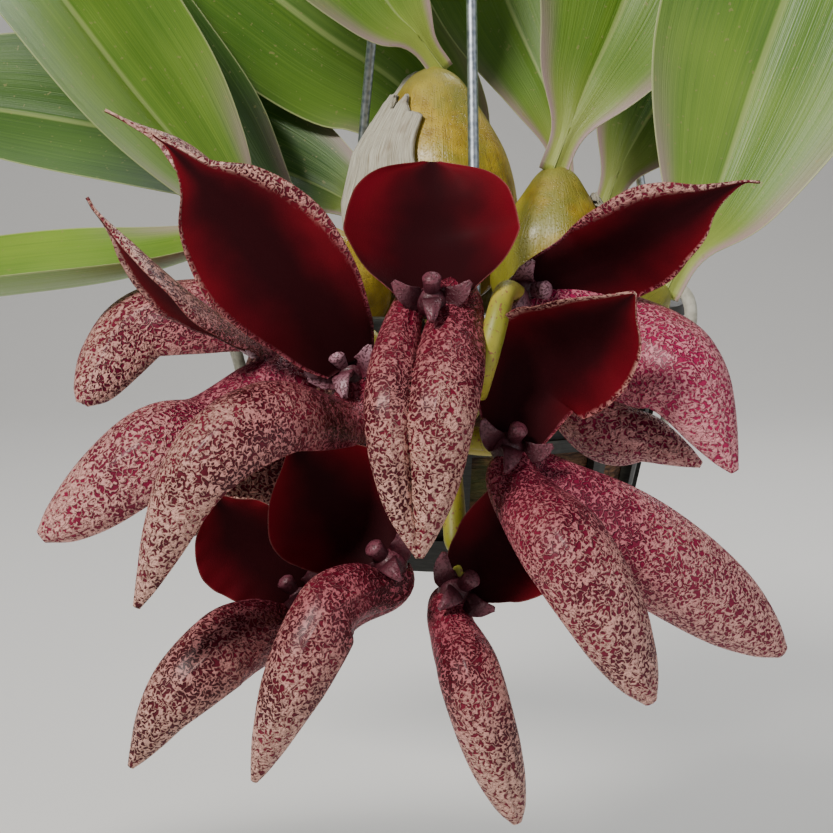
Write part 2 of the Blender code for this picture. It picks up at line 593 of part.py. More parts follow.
def make_sheaths():
    """Dry papery sheaths that still cling to one side of a pseudobulb."""
    for number, (bulb_number, turns, heights) in SHEATHS.items():
        bulb = BULBS[bulb_number]
        base, top = np.array(bulb.base, float), np.array(bulb.top, float)
        rows, columns = 6, 9
        height = np.linspace(*heights, rows)[:, None]
        turn = np.radians(np.linspace(*turns, columns))[None, :]
        taper = np.interp(height, *zip(*BULB))
        radius = bulb.radius * taper * 1.03 + 1.25 + 0.25 * np.cos(5 * turn)
        ragged = height + 0.03 * np.sin(4 * turn) * (height > heights[1] - 0.01)
        along = base + (top - base) * ragged[..., None]
        flat = 0 * (turn + height)
        out = np.stack([np.cos(turn) + flat, np.sin(turn) + flat, flat], axis=-1)
        sheath = blade(numbered("sheath", number), along + radius[..., None] * out, SHEATH_THICKNESS)
        place(sheath, basket_frame, PAPER)


def petal_routes(bloom):
    """The two small petals, the lip and the column, set by the way that the flower looks."""
    base = np.array(bloom.base, float)
    forward = unit(bloom.dorsal.faces)
    rise = np.array(bloom.dorsal.route[1], float) - base
    up = unit(rise - forward * (rise @ forward))
    side = np.cross(up, forward)
    petals = []
    for hand in (-1, 1):
        out = hand * side
        petals.append([base + out * 1.2, base + out * 6 + up * 3 + forward * 2.6,
                       base + out * 9.5 + up * 7.5 + forward * 3.5])
    lip = [base + forward, base + forward * 5 - up * 0.5, base + forward * 7 - up * 3.5]
    column = [base, base + forward * 2 + up * 2.6, base + forward * 3.6 + up * 4.6]
    return petals, lip, column, forward, up


def make_bloom(letter, bloom):
    name = numbered("bloom", letter)
    base = np.array(bloom.base, float)
    back = -unit(base)
    pieces = [ball("core", base, CORE_RADIUS, 6, 4)]
    pieces.append(tube("neck", [base, base + back * NECK], NECK_RADII))
    dorsal = bloom.dorsal
    surface = blade_surface(dorsal.route, dorsal.faces, DORSAL, dorsal.half_width, dorsal.cup,
                            SEPAL_GRID, dorsal.curl)
    pieces.append(blade("dorsal", surface, DORSAL_THICKNESS))
    for sepal in bloom.laterals:
        start = np.array(sepal.route[0], float)
        route = [base + 0.2 * (start - base), *sepal.route]
        surface = blade_surface(route, sepal.faces, TUSK, sepal.half_width, sepal.cup,
                                SEPAL_GRID, sepal.curl)
        pieces.append(blade("lateral", surface, LATERAL_THICKNESS))
    petals, lip, column, forward, up = petal_routes(bloom)
    for petal in petals:
        surface = blade_surface(petal, forward, STRAP, PETAL_HALF_WIDTH, 20, PETAL_GRID)
        pieces.append(blade("petal", surface, PETAL_THICKNESS))
    surface = blade_surface(lip, up, STRAP, LIP_HALF_WIDTH, 30, PETAL_GRID)
    pieces.append(blade("lip", surface, LIP_THICKNESS))
    pieces.append(tube("column", column, COLUMN_RADII))
    place(joined(name, pieces), umbel_frame, VELVET)


def make_stalk():
    """The peduncle, which hangs from the newest bulb's base, and the pedicel of each flower."""
    tip = Matrix.Rotation(math.radians(UMBEL_TIP), 3, "X")
    start = np.array(tip.inverted() @ (Vector(STALK_START) - Vector(UMBEL_PLACE)))
    pieces = [ball("crown", (0, 0, 0), 3.0)]
    peduncle = smooth_line([start, start * 0.6 + (0, 0, -4), (3, 1, -2), (0, 0, 0)], 8)
    pieces.append(tube("peduncle", peduncle, np.linspace(2.4, 2.2, 8)))
    for bloom in BLOOMS.values():
        base = np.array(bloom.base, float)
        end = base - unit(base) * (NECK + GAP)
        points = smooth_line([(0, 0, 0), end * 0.5, end], 4)
        pieces.append(tube("pedicel", points, PEDICEL_RADII))
    place(joined("flower_stalk", pieces), umbel_frame, STALK)


for old in list(bpy.data.objects):
    bpy.data.objects.remove(old)

orchid = bpy.data.collections.new("bulbophyllum_orchid")
workshop = bpy.data.collections.new("workshop")
bpy.context.scene.collection.children.link(orchid)
bpy.context.scene.collection.children.link(workshop)

basket_frame = bpy.data.objects.new("basket_frame", None)
basket_frame.location = (0, 0, -HANG_DROP * MM)
umbel_frame = bpy.data.objects.new("umbel_frame", None)
umbel_frame.parent = basket_frame
umbel_frame.location = Vector(UMBEL_PLACE) * MM
umbel_frame.rotation_euler = (math.radians(UMBEL_TIP), 0, 0)
for empty in (basket_frame, umbel_frame):
    orchid.objects.link(empty)

make_basket()
make_hanger()
for number, bulb in BULBS.items():
    fineness = (16, 9) if number == 1 else (12, 7)
    place(bulb_solid(numbered("pseudobulb", number), bulb, 0, *fineness), basket_frame, OCHRE)
for number, leaf in LEAVES.items():
    surface = blade_surface(leaf.route, leaf.faces, LEAF, leaf.half_width, LEAF_CUP, LEAF_GRID)
    place(blade(numbered("leaf", number), surface, LEAF_THICKNESS), basket_frame, GREEN)
place(rhizome_solid("rhizome"), basket_frame, ROOT)
make_bed()
make_sheaths()
for letter, bloom in BLOOMS.items():
    make_bloom(letter, bloom)
make_stalk()

for obj in list(workshop.objects):
    workshop.objects.unlink(obj)
bpy.data.collections.remove(workshop)
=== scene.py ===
# %% [markdown]
# # A bulbophyllum orchid in its hanging basket
# The real plant is a creeping stem with fat pseudobulbs, one leathery leaf on each, and a
# bunch of fleshy flowers that hang over the front of a small net basket. Every flower has one
# broad hooded sepal, near black and velvety inside, and two thick tusk-shaped sepals whose
# outer faces are covered in cream marks like worm tracks.
#
# A model in plain solids gives the places and sizes. This script gives each piece a fine
# surface and a finish. It starts with that frame of solids, which stays where it is.

# %% The fixed frame
import json
import math

import bpy
import numpy as np
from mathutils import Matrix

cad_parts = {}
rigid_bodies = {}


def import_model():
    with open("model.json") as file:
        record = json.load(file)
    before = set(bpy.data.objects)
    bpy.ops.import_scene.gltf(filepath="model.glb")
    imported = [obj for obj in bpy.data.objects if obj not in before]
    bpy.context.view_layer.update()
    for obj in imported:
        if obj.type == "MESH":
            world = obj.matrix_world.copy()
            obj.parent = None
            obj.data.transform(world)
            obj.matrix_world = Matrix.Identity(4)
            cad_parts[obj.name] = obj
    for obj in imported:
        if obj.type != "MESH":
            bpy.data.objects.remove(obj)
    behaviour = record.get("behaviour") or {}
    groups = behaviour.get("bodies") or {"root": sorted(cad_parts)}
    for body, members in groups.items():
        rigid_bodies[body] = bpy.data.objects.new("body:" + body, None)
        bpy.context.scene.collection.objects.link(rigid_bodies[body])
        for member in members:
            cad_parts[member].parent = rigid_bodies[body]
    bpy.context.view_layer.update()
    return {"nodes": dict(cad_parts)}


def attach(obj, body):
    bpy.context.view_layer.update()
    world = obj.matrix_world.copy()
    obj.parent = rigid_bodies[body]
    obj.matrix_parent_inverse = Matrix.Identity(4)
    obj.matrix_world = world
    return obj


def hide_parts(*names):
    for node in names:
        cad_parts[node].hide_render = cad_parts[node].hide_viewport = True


for old in list(bpy.data.objects):
    bpy.data.objects.remove(old)

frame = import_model()
link = bpy.context.scene.collection.objects.link
print("solids in the frame:", len(frame["nodes"]))

# %% [markdown]
# ## Three places to measure from
# Growers would measure this plant from two points: the middle of the basket's rim and the
# point where the flower stalks meet. So the tables below are in millimetres in those two
# frames. One function for each turns its points into the object's own metres, whose origin
# is the seat of the hook.

# %% Frames of measurement
MM = 0.001
HANG_DROP = 250.0
UMBEL_PLACE = np.array((-2.0, -64.0, -18.0))
UMBEL_TIP = math.radians(-8.0)


def from_basket(points):
    """Rim-centred millimetres to metres: down by the length of the hanger, then scaled."""
    return (np.asarray(points, float) - (0, 0, HANG_DROP)) * MM


def from_umbel(points):
    """Umbel millimetres to metres: turned about X by the tip angle, then moved to its place."""
    x, y, z = np.moveaxis(np.asarray(points, float), -1, 0)
    turned = np.stack([x, y * math.cos(UMBEL_TIP) - z * math.sin(UMBEL_TIP),
                       y * math.sin(UMBEL_TIP) + z * math.cos(UMBEL_TIP)], axis=-1)
    return from_basket(turned + UMBEL_PLACE)


# %% [markdown]
# ## The camera
# The photograph looks a little down at the flowers from about 40 cm. The camera's view is
# 142 mm wide at the depth of the flowers. It is set before any piece is made.

# %% Camera
AIM = from_basket((-8.6, -85.0, -12.5))
VIEW_DISTANCE = 0.420
VIEW_WIDTH = 0.1416
VIEW_DOWN = math.radians(8.0)
NEAREST = 0.01


def aim_camera():
    camera = bpy.data.objects.new("camera", bpy.data.cameras.new("camera"))
    camera.data.angle = 2 * math.atan(VIEW_WIDTH / 2 / VIEW_DISTANCE)
    camera.data.clip_start = NEAREST
    forward = np.array((0, math.cos(VIEW_DOWN), -math.sin(VIEW_DOWN)))
    camera.location = AIM - forward * VIEW_DISTANCE
    camera.rotation_euler = (math.pi / 2 - VIEW_DOWN, 0, 0)
    link(camera)
    bpy.context.scene.camera = camera
    return camera


camera = aim_camera()
print("camera at", [round(value, 3) for value in camera.location])

# %% [markdown]
# ## Curves
# A stem, a wire and the middle of a petal are all one smooth line through a few points. A
# Catmull-Rom curve passes through every point that is given, which makes it easy to place by
# eye. It is read again at equal steps, so that the rows of a surface are even.

# %% Smooth lines
STEPS_PER_SPAN = 24
OUTLINE_STEPS = 400


def unit(vectors):
    """Each vector divided by its own length."""
    vectors = np.asarray(vectors, float)
    return vectors / np.linalg.norm(vectors, axis=-1, keepdims=True)


def smooth_line(points, count):
    """Catmull-Rom through the points, measured along its length and read at count equal steps."""
    p = np.array(points, float)
    p = np.vstack([2 * p[0] - p[1], p, 2 * p[-1] - p[-2]])
    t = np.linspace(0, 1, STEPS_PER_SPAN, endpoint=False)[:, None, None]
    a, b, c, d = p[:-3], p[1:-2], p[2:-1], p[3:]
    spans = 0.5 * (2 * b + (c - a) * t + (2 * a - 5 * b + 4 * c - d) * t**2
                   + (3 * b - a - 3 * c + d) * t**3)
    dense = np.vstack([spans.transpose(1, 0, 2).reshape(-1, p.shape[1]), p[-2]])
    length = np.concatenate([[0], np.cumsum(np.linalg.norm(np.diff(dense, axis=0), axis=1))])
    where = np.linspace(0, length[-1], count)
    return np.stack([np.interp(where, length, column) for column in dense.T], axis=1)


def share_along(outline, rows):
    """An outline of (place, width) pairs, rounded by the same curve and read at each row."""
    line = smooth_line(outline, OUTLINE_STEPS)
    return np.interp(np.linspace(0, 1, rows), line[:, 0], np.maximum(line[:, 1], 0))


def ripple(x, y, seed, waves=7):
    """A gentle unevenness: a sum of cosines in seeded directions, from -1 to 1."""
    draw = np.random.default_rng(seed)
    kx, ky = draw.normal(0, 1, (2, waves))
    phase = draw.uniform(0, 2 * math.pi, waves)
    return np.cos(x[..., None] * kx + y[..., None] * ky + phase).sum(-1) / waves


# %% [markdown]
# ## From rings to a closed skin
# Every piece of the plant is a skin round a line: a ring of points at each step, joined to
# the next ring, with both ends closed. It could be a curve with a bevel, but a petal's
# section isn't round. So the rings are worked out as one array, and this step turns them into
# a mesh. The signed volume tells whether the faces look out, and they are turned if not.

# %% Skins
def skin_faces(rows, around, wrap):
    """Quads between neighbouring rings, and a fan of triangles at each end that isn't wrapped."""
    index = np.arange(rows * around).reshape(rows, around)
    nearer, further = (index, np.roll(index, -1, 0)) if wrap else (index[:-1], index[1:])
    quads = np.stack([nearer, np.roll(nearer, -1, 1), np.roll(further, -1, 1), further], -1)
    if wrap:
        return quads.reshape(-1, 4), np.zeros((0, 3), int)
    first, last = np.full(around, rows * around), np.full(around, rows * around + 1)
    fans = np.concatenate([np.stack([np.roll(index[0], -1), index[0], first], -1),
                           np.stack([index[-1], np.roll(index[-1], -1), last], -1)])
    return quads.reshape(-1, 4), fans


def skin(rings, wrap=False, **fields):
    """Points, faces and named fields of one closed skin, with its faces pointing out."""
    rows, around = rings.shape[:2]
    quads, fans = skin_faces(rows, around, wrap)
    ends = [] if wrap else [rings[0].mean(0), rings[-1].mean(0)]
    points = np.vstack([rings.reshape(-1, 3), *ends])
    triangles = np.vstack([quads[:, [0, 1, 2]], quads[:, [0, 2, 3]], fans])
    corners = points[triangles] - points.mean(0)
    if np.einsum("ij,ij->i", corners[:, 0], np.cross(corners[:, 1], corners[:, 2])).sum() < 0:
        quads, fans = quads[:, ::-1], fans[:, ::-1]
    read = {}
    for name, values in fields.items():
        values = np.broadcast_to(values, (rows, around)).astype(float)
        tips = [] if wrap else [values[0].mean(), values[-1].mean()]
        read[name] = np.concatenate([values.ravel(), tips])
    return points, quads, fans, read


def mesh_of(name, skins):
    """One mesh from several skins: vertices, then all quads, then all triangles."""
    starts = np.cumsum([0] + [len(points) for points, *_ in skins])
    quads = np.vstack([part[1] + start for part, start in zip(skins, starts)])
    fans = np.vstack([part[2] + start for part, start in zip(skins, starts)])
    points = np.vstack([part[0] for part in skins])
    mesh = bpy.data.meshes.new(name)
    mesh.vertices.add(len(points))
    mesh.vertices.foreach_set("co", points.astype(np.float32).ravel())
    mesh.loops.add(quads.size + fans.size)
    corners = np.concatenate([quads.ravel(), fans.ravel()])
    mesh.loops.foreach_set("vertex_index", corners.astype(np.int32))
    mesh.polygons.add(len(quads) + len(fans))
    starts = np.concatenate([4 * np.arange(len(quads)), quads.size + 3 * np.arange(len(fans))])
    mesh.polygons.foreach_set("loop_start", starts.astype(np.int32))
    mesh.update(calc_edges=True)
    for field in skins[0][3]:
        values = np.concatenate([part[3][field] for part in skins])
        mesh.attributes.new(field, "FLOAT", "POINT").data.foreach_set("value", values.astype(np.float32))
    mesh.shade_smooth()
    return mesh


def settle(piece, slot, *nodes):
    """Puts a piece in the scene, on the frame's one body, in place of the nodes it stands for."""
    link(piece)
    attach(piece, "root")
    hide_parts(*nodes)


def add_piece(name, skins, to_metres, finish, slot, *nodes):
    """One piece from skins in millimetres, with their points taken to the object's own metres."""
    mesh = mesh_of(name, [(to_metres(points), *rest) for points, *rest in skins])
    mesh.materials.append(finish)
    settle(bpy.data.objects.new(name, mesh), slot, *nodes)


# %% [markdown]
# ## Shader sums
# A finish is a sum of patterns. Written with nodes that sum is hard to read, so one small
# class wraps a socket and lets Python's own signs add the maths nodes. Any other node comes
# from one method, which sets its settings first and then its sockets. A pattern that reads the
# place has its scale in cells to the metre.

# %% Sockets that can be added
class Wire:
    """A socket in a finish. The signs + - and * make the matching maths node."""

    def __init__(self, finish, socket):
        self.finish, self.socket = finish, socket

    def math(self, operation, *values):
        return self.finish.node("ShaderNodeMath", {"operation": operation}, dict(enumerate(values)))

    def __add__(self, other):
        return self.math("ADD", self, other)

    def __sub__(self, other):
        return self.math("SUBTRACT", self, other)

    def __rsub__(self, other):
        return self.math("SUBTRACT", other, self)

    def __mul__(self, other):
        return self.math("MULTIPLY", self, other)

    def size(self):
        return self.math("ABSOLUTE", self)

    def between(self, low, high):
        """0 below low, 1 above high, and a smooth step from one to the other."""
        return self.finish.node("ShaderNodeMapRange", {"interpolation_type": "SMOOTHSTEP"},
                                {"Value": self, "From Min": low, "From Max": high})

    __radd__, __rmul__ = __add__, __mul__


class Finish:
    """A material under construction, with the patterns that this plant's finishes share."""

    def __init__(self, name, **constants):
        self.material = bpy.data.materials.new(name)
        self.material.use_nodes = True
        self.tree = self.material.node_tree
        self.shader = self.tree.nodes["Principled BSDF"]
        for socket, value in constants.items():
            self.shader.inputs[socket.replace("_", " ")].default_value = value

    def put(self, socket, value):
        if isinstance(value, Wire):
            self.tree.links.new(value.socket, socket)
        elif isinstance(value, tuple) and socket.type == "RGBA":
            socket.default_value = (*value, 1)
        else:
            socket.default_value = value

    def node(self, kind, settings, values, output=0):
        made = self.tree.nodes.new(kind)
        for name, value in settings.items():
            setattr(made, name, value)
        for socket, value in values.items():
            self.put(made.inputs[socket], value)
        return Wire(self, made.outputs[output])

    def place(self):
        return self.node("ShaderNodeTexCoord", {}, {}, "Object")

    def field(self, name):
        return self.node("ShaderNodeAttribute", {"attribute_name": name}, {}, "Fac")

    def vector(self, x, y, z=0.0):
        return self.node("ShaderNodeCombineXYZ", {}, {0: x, 1: y, 2: z})

    def drawn(self, where, down):
        """The same place with its height stretched, for patterns that lie in flat layers."""
        return self.node("ShaderNodeMapping", {}, {"Vector": where, "Scale": (1, 1, down)})

    def noise(self, where, scale, detail=2.0, roughness=0.5, distortion=0.0):
        values = {"Vector": where, "Scale": scale, "Detail": detail, "Roughness": roughness,
                  "Distortion": distortion}
        return self.node("ShaderNodeTexNoise", {}, values, "Fac")

    def cells(self, where, scale):
        return self.node("ShaderNodeTexVoronoi", {}, {"Vector": where, "Scale": scale}, "Distance")

    def mix(self, first, second, amount):
        """First where amount is 0, second where it is 1. Sockets 0, 6 and 7 are the colour ones."""
        return self.node("ShaderNodeMix", {"data_type": "RGBA"}, {0: amount, 6: first, 7: second}, 2)

    def layers(self, colour, *over):
        """Lays each further colour over the ones before it, by its own amount."""
        for top, amount in over:
            colour = self.mix(colour, top, amount)
        return colour

    def bump(self, height, distance, strength=1.0):
        values = {"Height": height, "Distance": distance, "Strength": strength}
        return self.node("ShaderNodeBump", {}, values)

    def done(self, **links):
        for socket, value in links.items():
            self.put(self.shader.inputs[socket.replace("_", " ")], value)
        print("finish:", self.material.name, "with", len(self.tree.nodes), "nodes")
        return self.material


# %% [markdown]
# ## The skin of a sepal
# Outside, a sepal is maroon under cream marks about a millimetre wide that wander like worm
# tracks. Where a noise stays near its middle value it draws just such winding bands, and the
# width of the band sets how much is cream. The marks are sparse and rose red at the base, and
# crowd together, pale cream, towards the tip. Inside, the sepal is a near-black velvet that
# glows red near the margin, where light comes through. The pattern reads Object coordinates,
# so it keeps its scale on every flower, and the fields along, across and inner tell the finish
# where it is on the sepal.

# %% Sepal finish
TRACKS, GRAIN, PATCHES, NAP = 1200, 3600, 95, 5200
# The bright pink ground and the pale pink marks are partly the sepals' own pink and partly painted light
# shining through the sepal.
DEEP_MAROON, MAROON, BRIGHT_PINK_AND_GLOW = (0.060, 0.0016, 0.007), (0.17, 0.005, 0.024), (0.36, 0.010, 0.075)
ROSE, CREAM, PALE_PINK_AND_GLOW = (0.46, 0.10, 0.14), (0.74, 0.42, 0.34), (0.86, 0.30, 0.38)
VELVET, CRIMSON, THROAT = (0.022, 0.0004, 0.0022), (0.155, 0.0016, 0.0085), (0.020, 0.0005, 0.002)
SEPAL_RIM = (0.36, 0.10, 0.09)


def sepal_finish():
    f = Finish("sepal_skin", Specular_IOR_Level=0.10, Coat_Roughness=0.38)
    where = f.place()
    along, across, inner, tone = (f.field(name) for name in ("along", "across", "inner", "tone"))
    contour = (f.noise(where, TRACKS, 0.4, 0.4, 0.8) - 0.5).size()
    grain, patches = f.noise(where, GRAIN), f.noise(where, PATCHES)
    uneven = patches - 0.5
    spread = (along - 0.42) * 0.075 + uneven * 0.16 + (grain - 0.5) * 0.05
    marks = (spread - contour).between(-0.124, -0.070)
    # The tone field turns the ground and the marks pink: partly own colour, partly painted light shining
    # through the sepal.
    ground = f.mix(f.mix(DEEP_MAROON, MAROON, patches.between(0.3, 0.7)), BRIGHT_PINK_AND_GLOW, tone)
    cream = f.mix(f.mix(ROSE, CREAM, (along + uneven * 0.6).between(0.1, 0.85)), PALE_PINK_AND_GLOW, tone * 0.75)
    outside = f.mix(ground, cream, marks * (0.62 + along * 0.35))
    edge = across.size()
    glow = (edge * 0.85 + uneven * 0.7 + along * 0.3).between(0.30, 1.25)
    inside = f.layers(VELVET, (CRIMSON, glow), (THROAT, along.between(0.42, 0.0)))
    rim = edge.between(0.975, 0.995) * (1 - inner * 0.3)
    nap = f.noise(where, NAP, 1.0) * 0.2
    height = nap * inner * 0.6 + (1 - inner) * (contour.between(0.20, 0.0) + grain * 0.2)
    return f.done(Base_Color=f.layers(outside, (inside, inner), (SEPAL_RIM, rim * 0.5)),
                  Roughness=0.48 + inner * 0.30, Coat_Weight=0.30 - inner * 0.29,
                  Normal=f.bump(height, 0.00050, 1.0))


sepal_skin = sepal_finish()

# %% [markdown]
# ## Where each flower's sepals run
# Nine flowers make the bunch. For each there is a base, the hooded dorsal sepal and the two
# lateral tusks, and each sepal is a route along its middle, a half width, the way that its dark
# inner face looks, the angle that it cups by, and how far each margin rolls back. The points
# were placed against the photograph. They are the ones of the solid model, so every fine
# sepal lies on the solid that it stands for. Only the middle hood stands more upright here.

# %% Table of flowers
from collections import namedtuple

Sepal = namedtuple("Sepal", "route half_width faces cup curl", defaults=((0, 0),))
Bloom = namedtuple("Bloom", "base dorsal laterals")

BLOOMS = {
    "a": Bloom(
        (-4, -20, 22),
        Sepal([(-4, -20, 22), (-4, -12, 32), (-4, -10.5, 41), (-4, -9, 47)], 16.5, (0, -1, 0), 42),
        [Sepal([(-8, -20, 21), (-11, -34, 5), (-10, -32, -10), (-6.5, -28, -21)], 5, (-0.1, 1, -0.2), 60),
         Sepal([(0, -20, 22), (-3, -35, 5), (-4, -33, -8), (-6, -28, -21)], 8, (0.1, 1, -0.2), 65)]),
    "b": Bloom(
        (-18, -10, 10),
        Sepal([(-18, -12, 12), (-29, -20, 27), (-45, -26, 45)], 13, (-0.35, -1, -0.15), 40, (0, 70)),
        [Sepal([(-18, -14, 4), (-30, -34, 5), (-44, -40, -6), (-53, -32, -29)], 9.5, (0.3, 1, -0.35), 62),
         Sepal([(-17, -6, 4), (-28, -2, -3), (-41, 0, -10), (-51, -4, -20)], 8, (0.2, 1, -0.3), 55)]),
    "c": Bloom(
        (-32, 2, 15),
        Sepal([(-32, 0, 14), (-46, -12, 23), (-60, -18, 36)], 10, (-0.55, -0.15, -0.8), 45),
        [Sepal([(-35, 8, 21), (-47, 10, 23), (-59, 10, 20), (-67, 4, 5)], 9.5, (0.1, 0.9, -0.5), 60),
         Sepal([(-31, -8, 11), (-41, -14, 1.5), (-54, -20, -3), (-71, -18, -18)], 10.5, (0.2, 1, -0.3), 60)]),
    "d": Bloom(
        (-11, -18, -23),
        Sepal([(-11, -18, -22), (-20, -13, -13), (-28, -18, -2)], 14, (-0.1, -1, 0.1), 40),
        [Sepal([(-12, -20, -26), (-21, -30, -30), (-28, -32, -43), (-34, -24, -59)], 7.5, (0.2, 1, 0.1), 62),
         Sepal([(-12, -14, -27), (-21.5, -16, -31), (-28, -16, -44), (-33, -10, -55)], 6.5,
               (0.1, 1, 0), 55)]),
    "e": Bloom(
        (9, -16, -3),
        Sepal([(9, -16, -3), (12.8, -12, 9), (22, -20, 16.5), (29.5, -32, 23)], 12.5, (0.15, -1, -0.1), 40),
        [Sepal([(11, -22, -9), (17, -36, -17), (25, -38, -30), (32.5, -30, -45)], 9, (-0.1, 1, 0), 62),
         Sepal([(15, -14, -10), (33.5, -18, -21), (46, -14, -29.5), (58, -6, -39)], 10.5,
               (-0.2, 1, 0.1), 60)]),
    "f": Bloom(
        (12, -6, 25),
        Sepal([(12, -6, 25.5), (24.5, -6, 29.5), (35.5, -14, 36.5), (47.5, -20, 42)], 10,
              (0.1, -0.85, -0.5), 40, (70, 0)),
        [Sepal([(15, -6, 22), (28, -8, 17.5), (40.5, -14, 10.5), (49, -10, -7)], 12, (-0.2, 1, -0.2), 60),
         Sepal([(16, 0, 20), (26, -3, 1), (35, -3, -2), (44, -2, -6)], 8, (0, 1, 0.2), 50)]),
    "g": Bloom(
        (0, -12, -28),
        Sepal([(1, -11, -27), (4.5, -10, -24), (10, -8, -20), (16, 2, -16)], 11, (0, -1, 0), 40),
        [Sepal([(-1, -16, -32), (2, -26, -40), (6, -26, -53), (10.6, -18, -67)], 6.5, (0, 1, 0), 62),
         Sepal([(-1, -8, -32), (2, -8, -42), (6, -6, -53), (9, -2, -62)], 5.5, (0, 1, 0), 55)]),
    "h": Bloom(
        (-22, 8, 24),
        Sepal([(-22, 8, 25), (-34, 6, 38), (-47, 2, 50), (-58, -2, 55)], 10, (-0.2, 0.35, -0.9), 42),
        [Sepal([(-23, 8, 22), (-31, 15, 15), (-37, 18, 4), (-42, 14, -8)], 7, (0.2, 1, 0), 55),
         Sepal([(-22, 10, 22), (-26, 18, 14), (-28, 20, 2), (-30, 16, -10)], 7, (0.2, 1, 0), 55)]),
    "i": Bloom(
        (-27, -2, -30),
        Sepal([(-27, -3, -28), (-35, -6, -20), (-42, -12, -11)], 11, (-0.3, -1, 0.1), 45),
        [Sepal([(-29, -8, -33), (-39.5, -18, -37), (-49, -20, -46), (-56, -14, -58)], 8, (0.2, 1, 0), 60),
         Sepal([(-29, -2, -34), (-39, -6, -38), (-47, -6, -46), (-52, 0, -54)], 7, (0.2, 1, 0), 55)]),
}
print("flowers:", len(BLOOMS))

# %% [markdown]
# ## One blade for petals, sepals and leaves
# A petal is a thin curved plate. Two numbers say where on it a point lies: how far along its
# route, and how far across. Its middle surface follows the route, and across each row the
# surface turns steadily by the cup angle, so a row is an arc. The wall is then added along
# the surface's own normals, thick in the middle and fine at the margin, where the two faces
# meet in a round edge. The columns crowd towards the margins, where the bend is sharpest.

# %% Blades
FINE_STEPS = 81
LEAST_HALF_WIDTH = 0.25
ROLL_STARTS, ROLL_FULL, ROLL_BLEND = 0.3, 0.75, 0.09


def row_shape(across, cup, curl):
    """Sideways and inward reach of a row: the running sum of the cosine and sine of its heading."""
    fine = np.linspace(-1, 1, FINE_STEPS)
    bend = np.clip((np.abs(fine) - 0.5) / 0.5, 0, 1) ** 1.5
    heading = np.radians(cup * fine - np.where(fine < 0, -curl[0], curl[1]) * bend)
    between = (heading[1:] + heading[:-1]) / 2
    reach = [np.concatenate([[0], np.cumsum(way(between))]) * (fine[1] - fine[0])
             for way in (np.cos, np.sin)]
    return [np.interp(across, fine, line - line[FINE_STEPS // 2]) for line in reach]


def blade_middle(route, faces, width, cup, curl, columns):
    """The middle surface: route + width x (sideways x side + inward x normal)."""
    middle = smooth_line(route, len(width))
    tangent = unit(np.gradient(middle, axis=0))
    toward = unit(faces)
    normal = unit(toward - tangent * (tangent @ toward)[:, None])
    side = np.cross(tangent, normal)
    across = -np.cos(np.linspace(0, math.pi, columns))
    sideways, lift = row_shape(across, cup, curl)
    surface = middle[:, None] + width[:, None, None] * (
        sideways[None, :, None] * side[:, None] + lift[None, :, None] * normal[:, None])
    return surface, normal, across


def surface_normals(surface, toward):
    """Cross product of the two directions on the surface, turned to the side that faces toward."""
    normals = np.cross(np.gradient(surface, axis=0), np.gradient(surface, axis=1))
    normals = unit(normals + 1e-12)
    facing = np.sign((normals * toward[:, None]).sum(-1).sum(1))[:, None, None]
    return normals * np.where(facing == 0, 1, facing)


def plate(surface, normals, inner_depth, outer_depth, tone, across, rolled=(0, 0)):
    """A wall round a surface, as rings: over the inner face, then back over the outer one.

    Rolled gives the share of each margin where the outer skin has turned over to the front.
    """
    along = np.linspace(0, 1, len(surface))[:, None]
    over = surface + normals * inner_depth[..., None]
    under = (surface - normals * outer_depth[..., None])[:, ::-1]
    rings = np.concatenate([over[:, :-1], under[:, :-1]], axis=1)
    inside = np.clip(0.5 + 4 * np.sqrt(np.maximum(1 - across**2, 0)), 0, 1)
    reach = np.interp(along, (ROLL_STARTS, ROLL_FULL), (0, 1))
    low, high = across + 1 - rolled[0] * reach, 1 - rolled[1] * reach - across
    front = inside * np.clip(low / ROLL_BLEND, 0, 1) * np.clip(high / ROLL_BLEND, 0, 1)
    front = front if any(rolled) else np.broadcast_to(inside, front.shape)
    back = np.broadcast_to(1 - inside[::-1], front.shape)
    return skin(rings, along=along, across=np.concatenate([across[:-1], across[::-1][:-1]])[None],
                inner=np.hstack([front[:, :-1], back[:, :-1]]), tone=tone)


def crest(across, width):
    """A ridge along the middle of a blade, in the shape of a bell curve."""
    return np.exp(-(across / width) ** 2)[None]


def blade(route, faces, outline, half_width, cup, thickness, size, curl=(0, 0), wave=0.0, nerves=0.0,
          ridge=0.0, flesh=0.0, seed=0, tone=0.0, rolled=(0, 0)):
    """A blade as a closed skin.

    Wave lifts the margins and nerves raise lines along the blade. On the outer face, ridge is
    the height of a keel and flesh that of small swellings.
    """
    rows, columns = size
    width = np.maximum(half_width * share_along(outline, rows), LEAST_HALF_WIDTH)
    surface, normal, across = blade_middle(route, faces, width, cup, curl, columns)
    along = np.linspace(0, 1, rows)[:, None]
    full = np.clip(2.2 * width / width.max(), 0, 1)[:, None]
    margin, side = np.abs(across)[None] ** 4, np.sign(across)[None]
    lift = wave * full * margin * ripple(along * 16 + side * 3, side * 2 + 0 * along, seed)
    lift = lift + 0.3 * wave * full * ripple(along * 7, across[None] * 3, seed + 1)
    surface = surface + normal[:, None] * lift[..., None]
    middle, edge = thickness
    round_edge = np.sqrt(np.maximum(1 - across**2, 0))[None] ** 0.7
    depth = (edge + (middle - edge) * (1 - across**2)[None] * full) / 2 * round_edge
    swelling = flesh * full * round_edge * ripple(along * 30, across[None] * 9, seed + 2, 12)
    lines = nerves * full * np.cos(across * 15)[None] * round_edge
    keel = ridge * full * crest(across, 0.09)
    return plate(surface, surface_normals(surface, normal), depth - 0.6 * lines * (1 - margin),
                 depth + lines + keel + swelling, tone, across, rolled)


print("blade of", FINE_STEPS, "steps across")

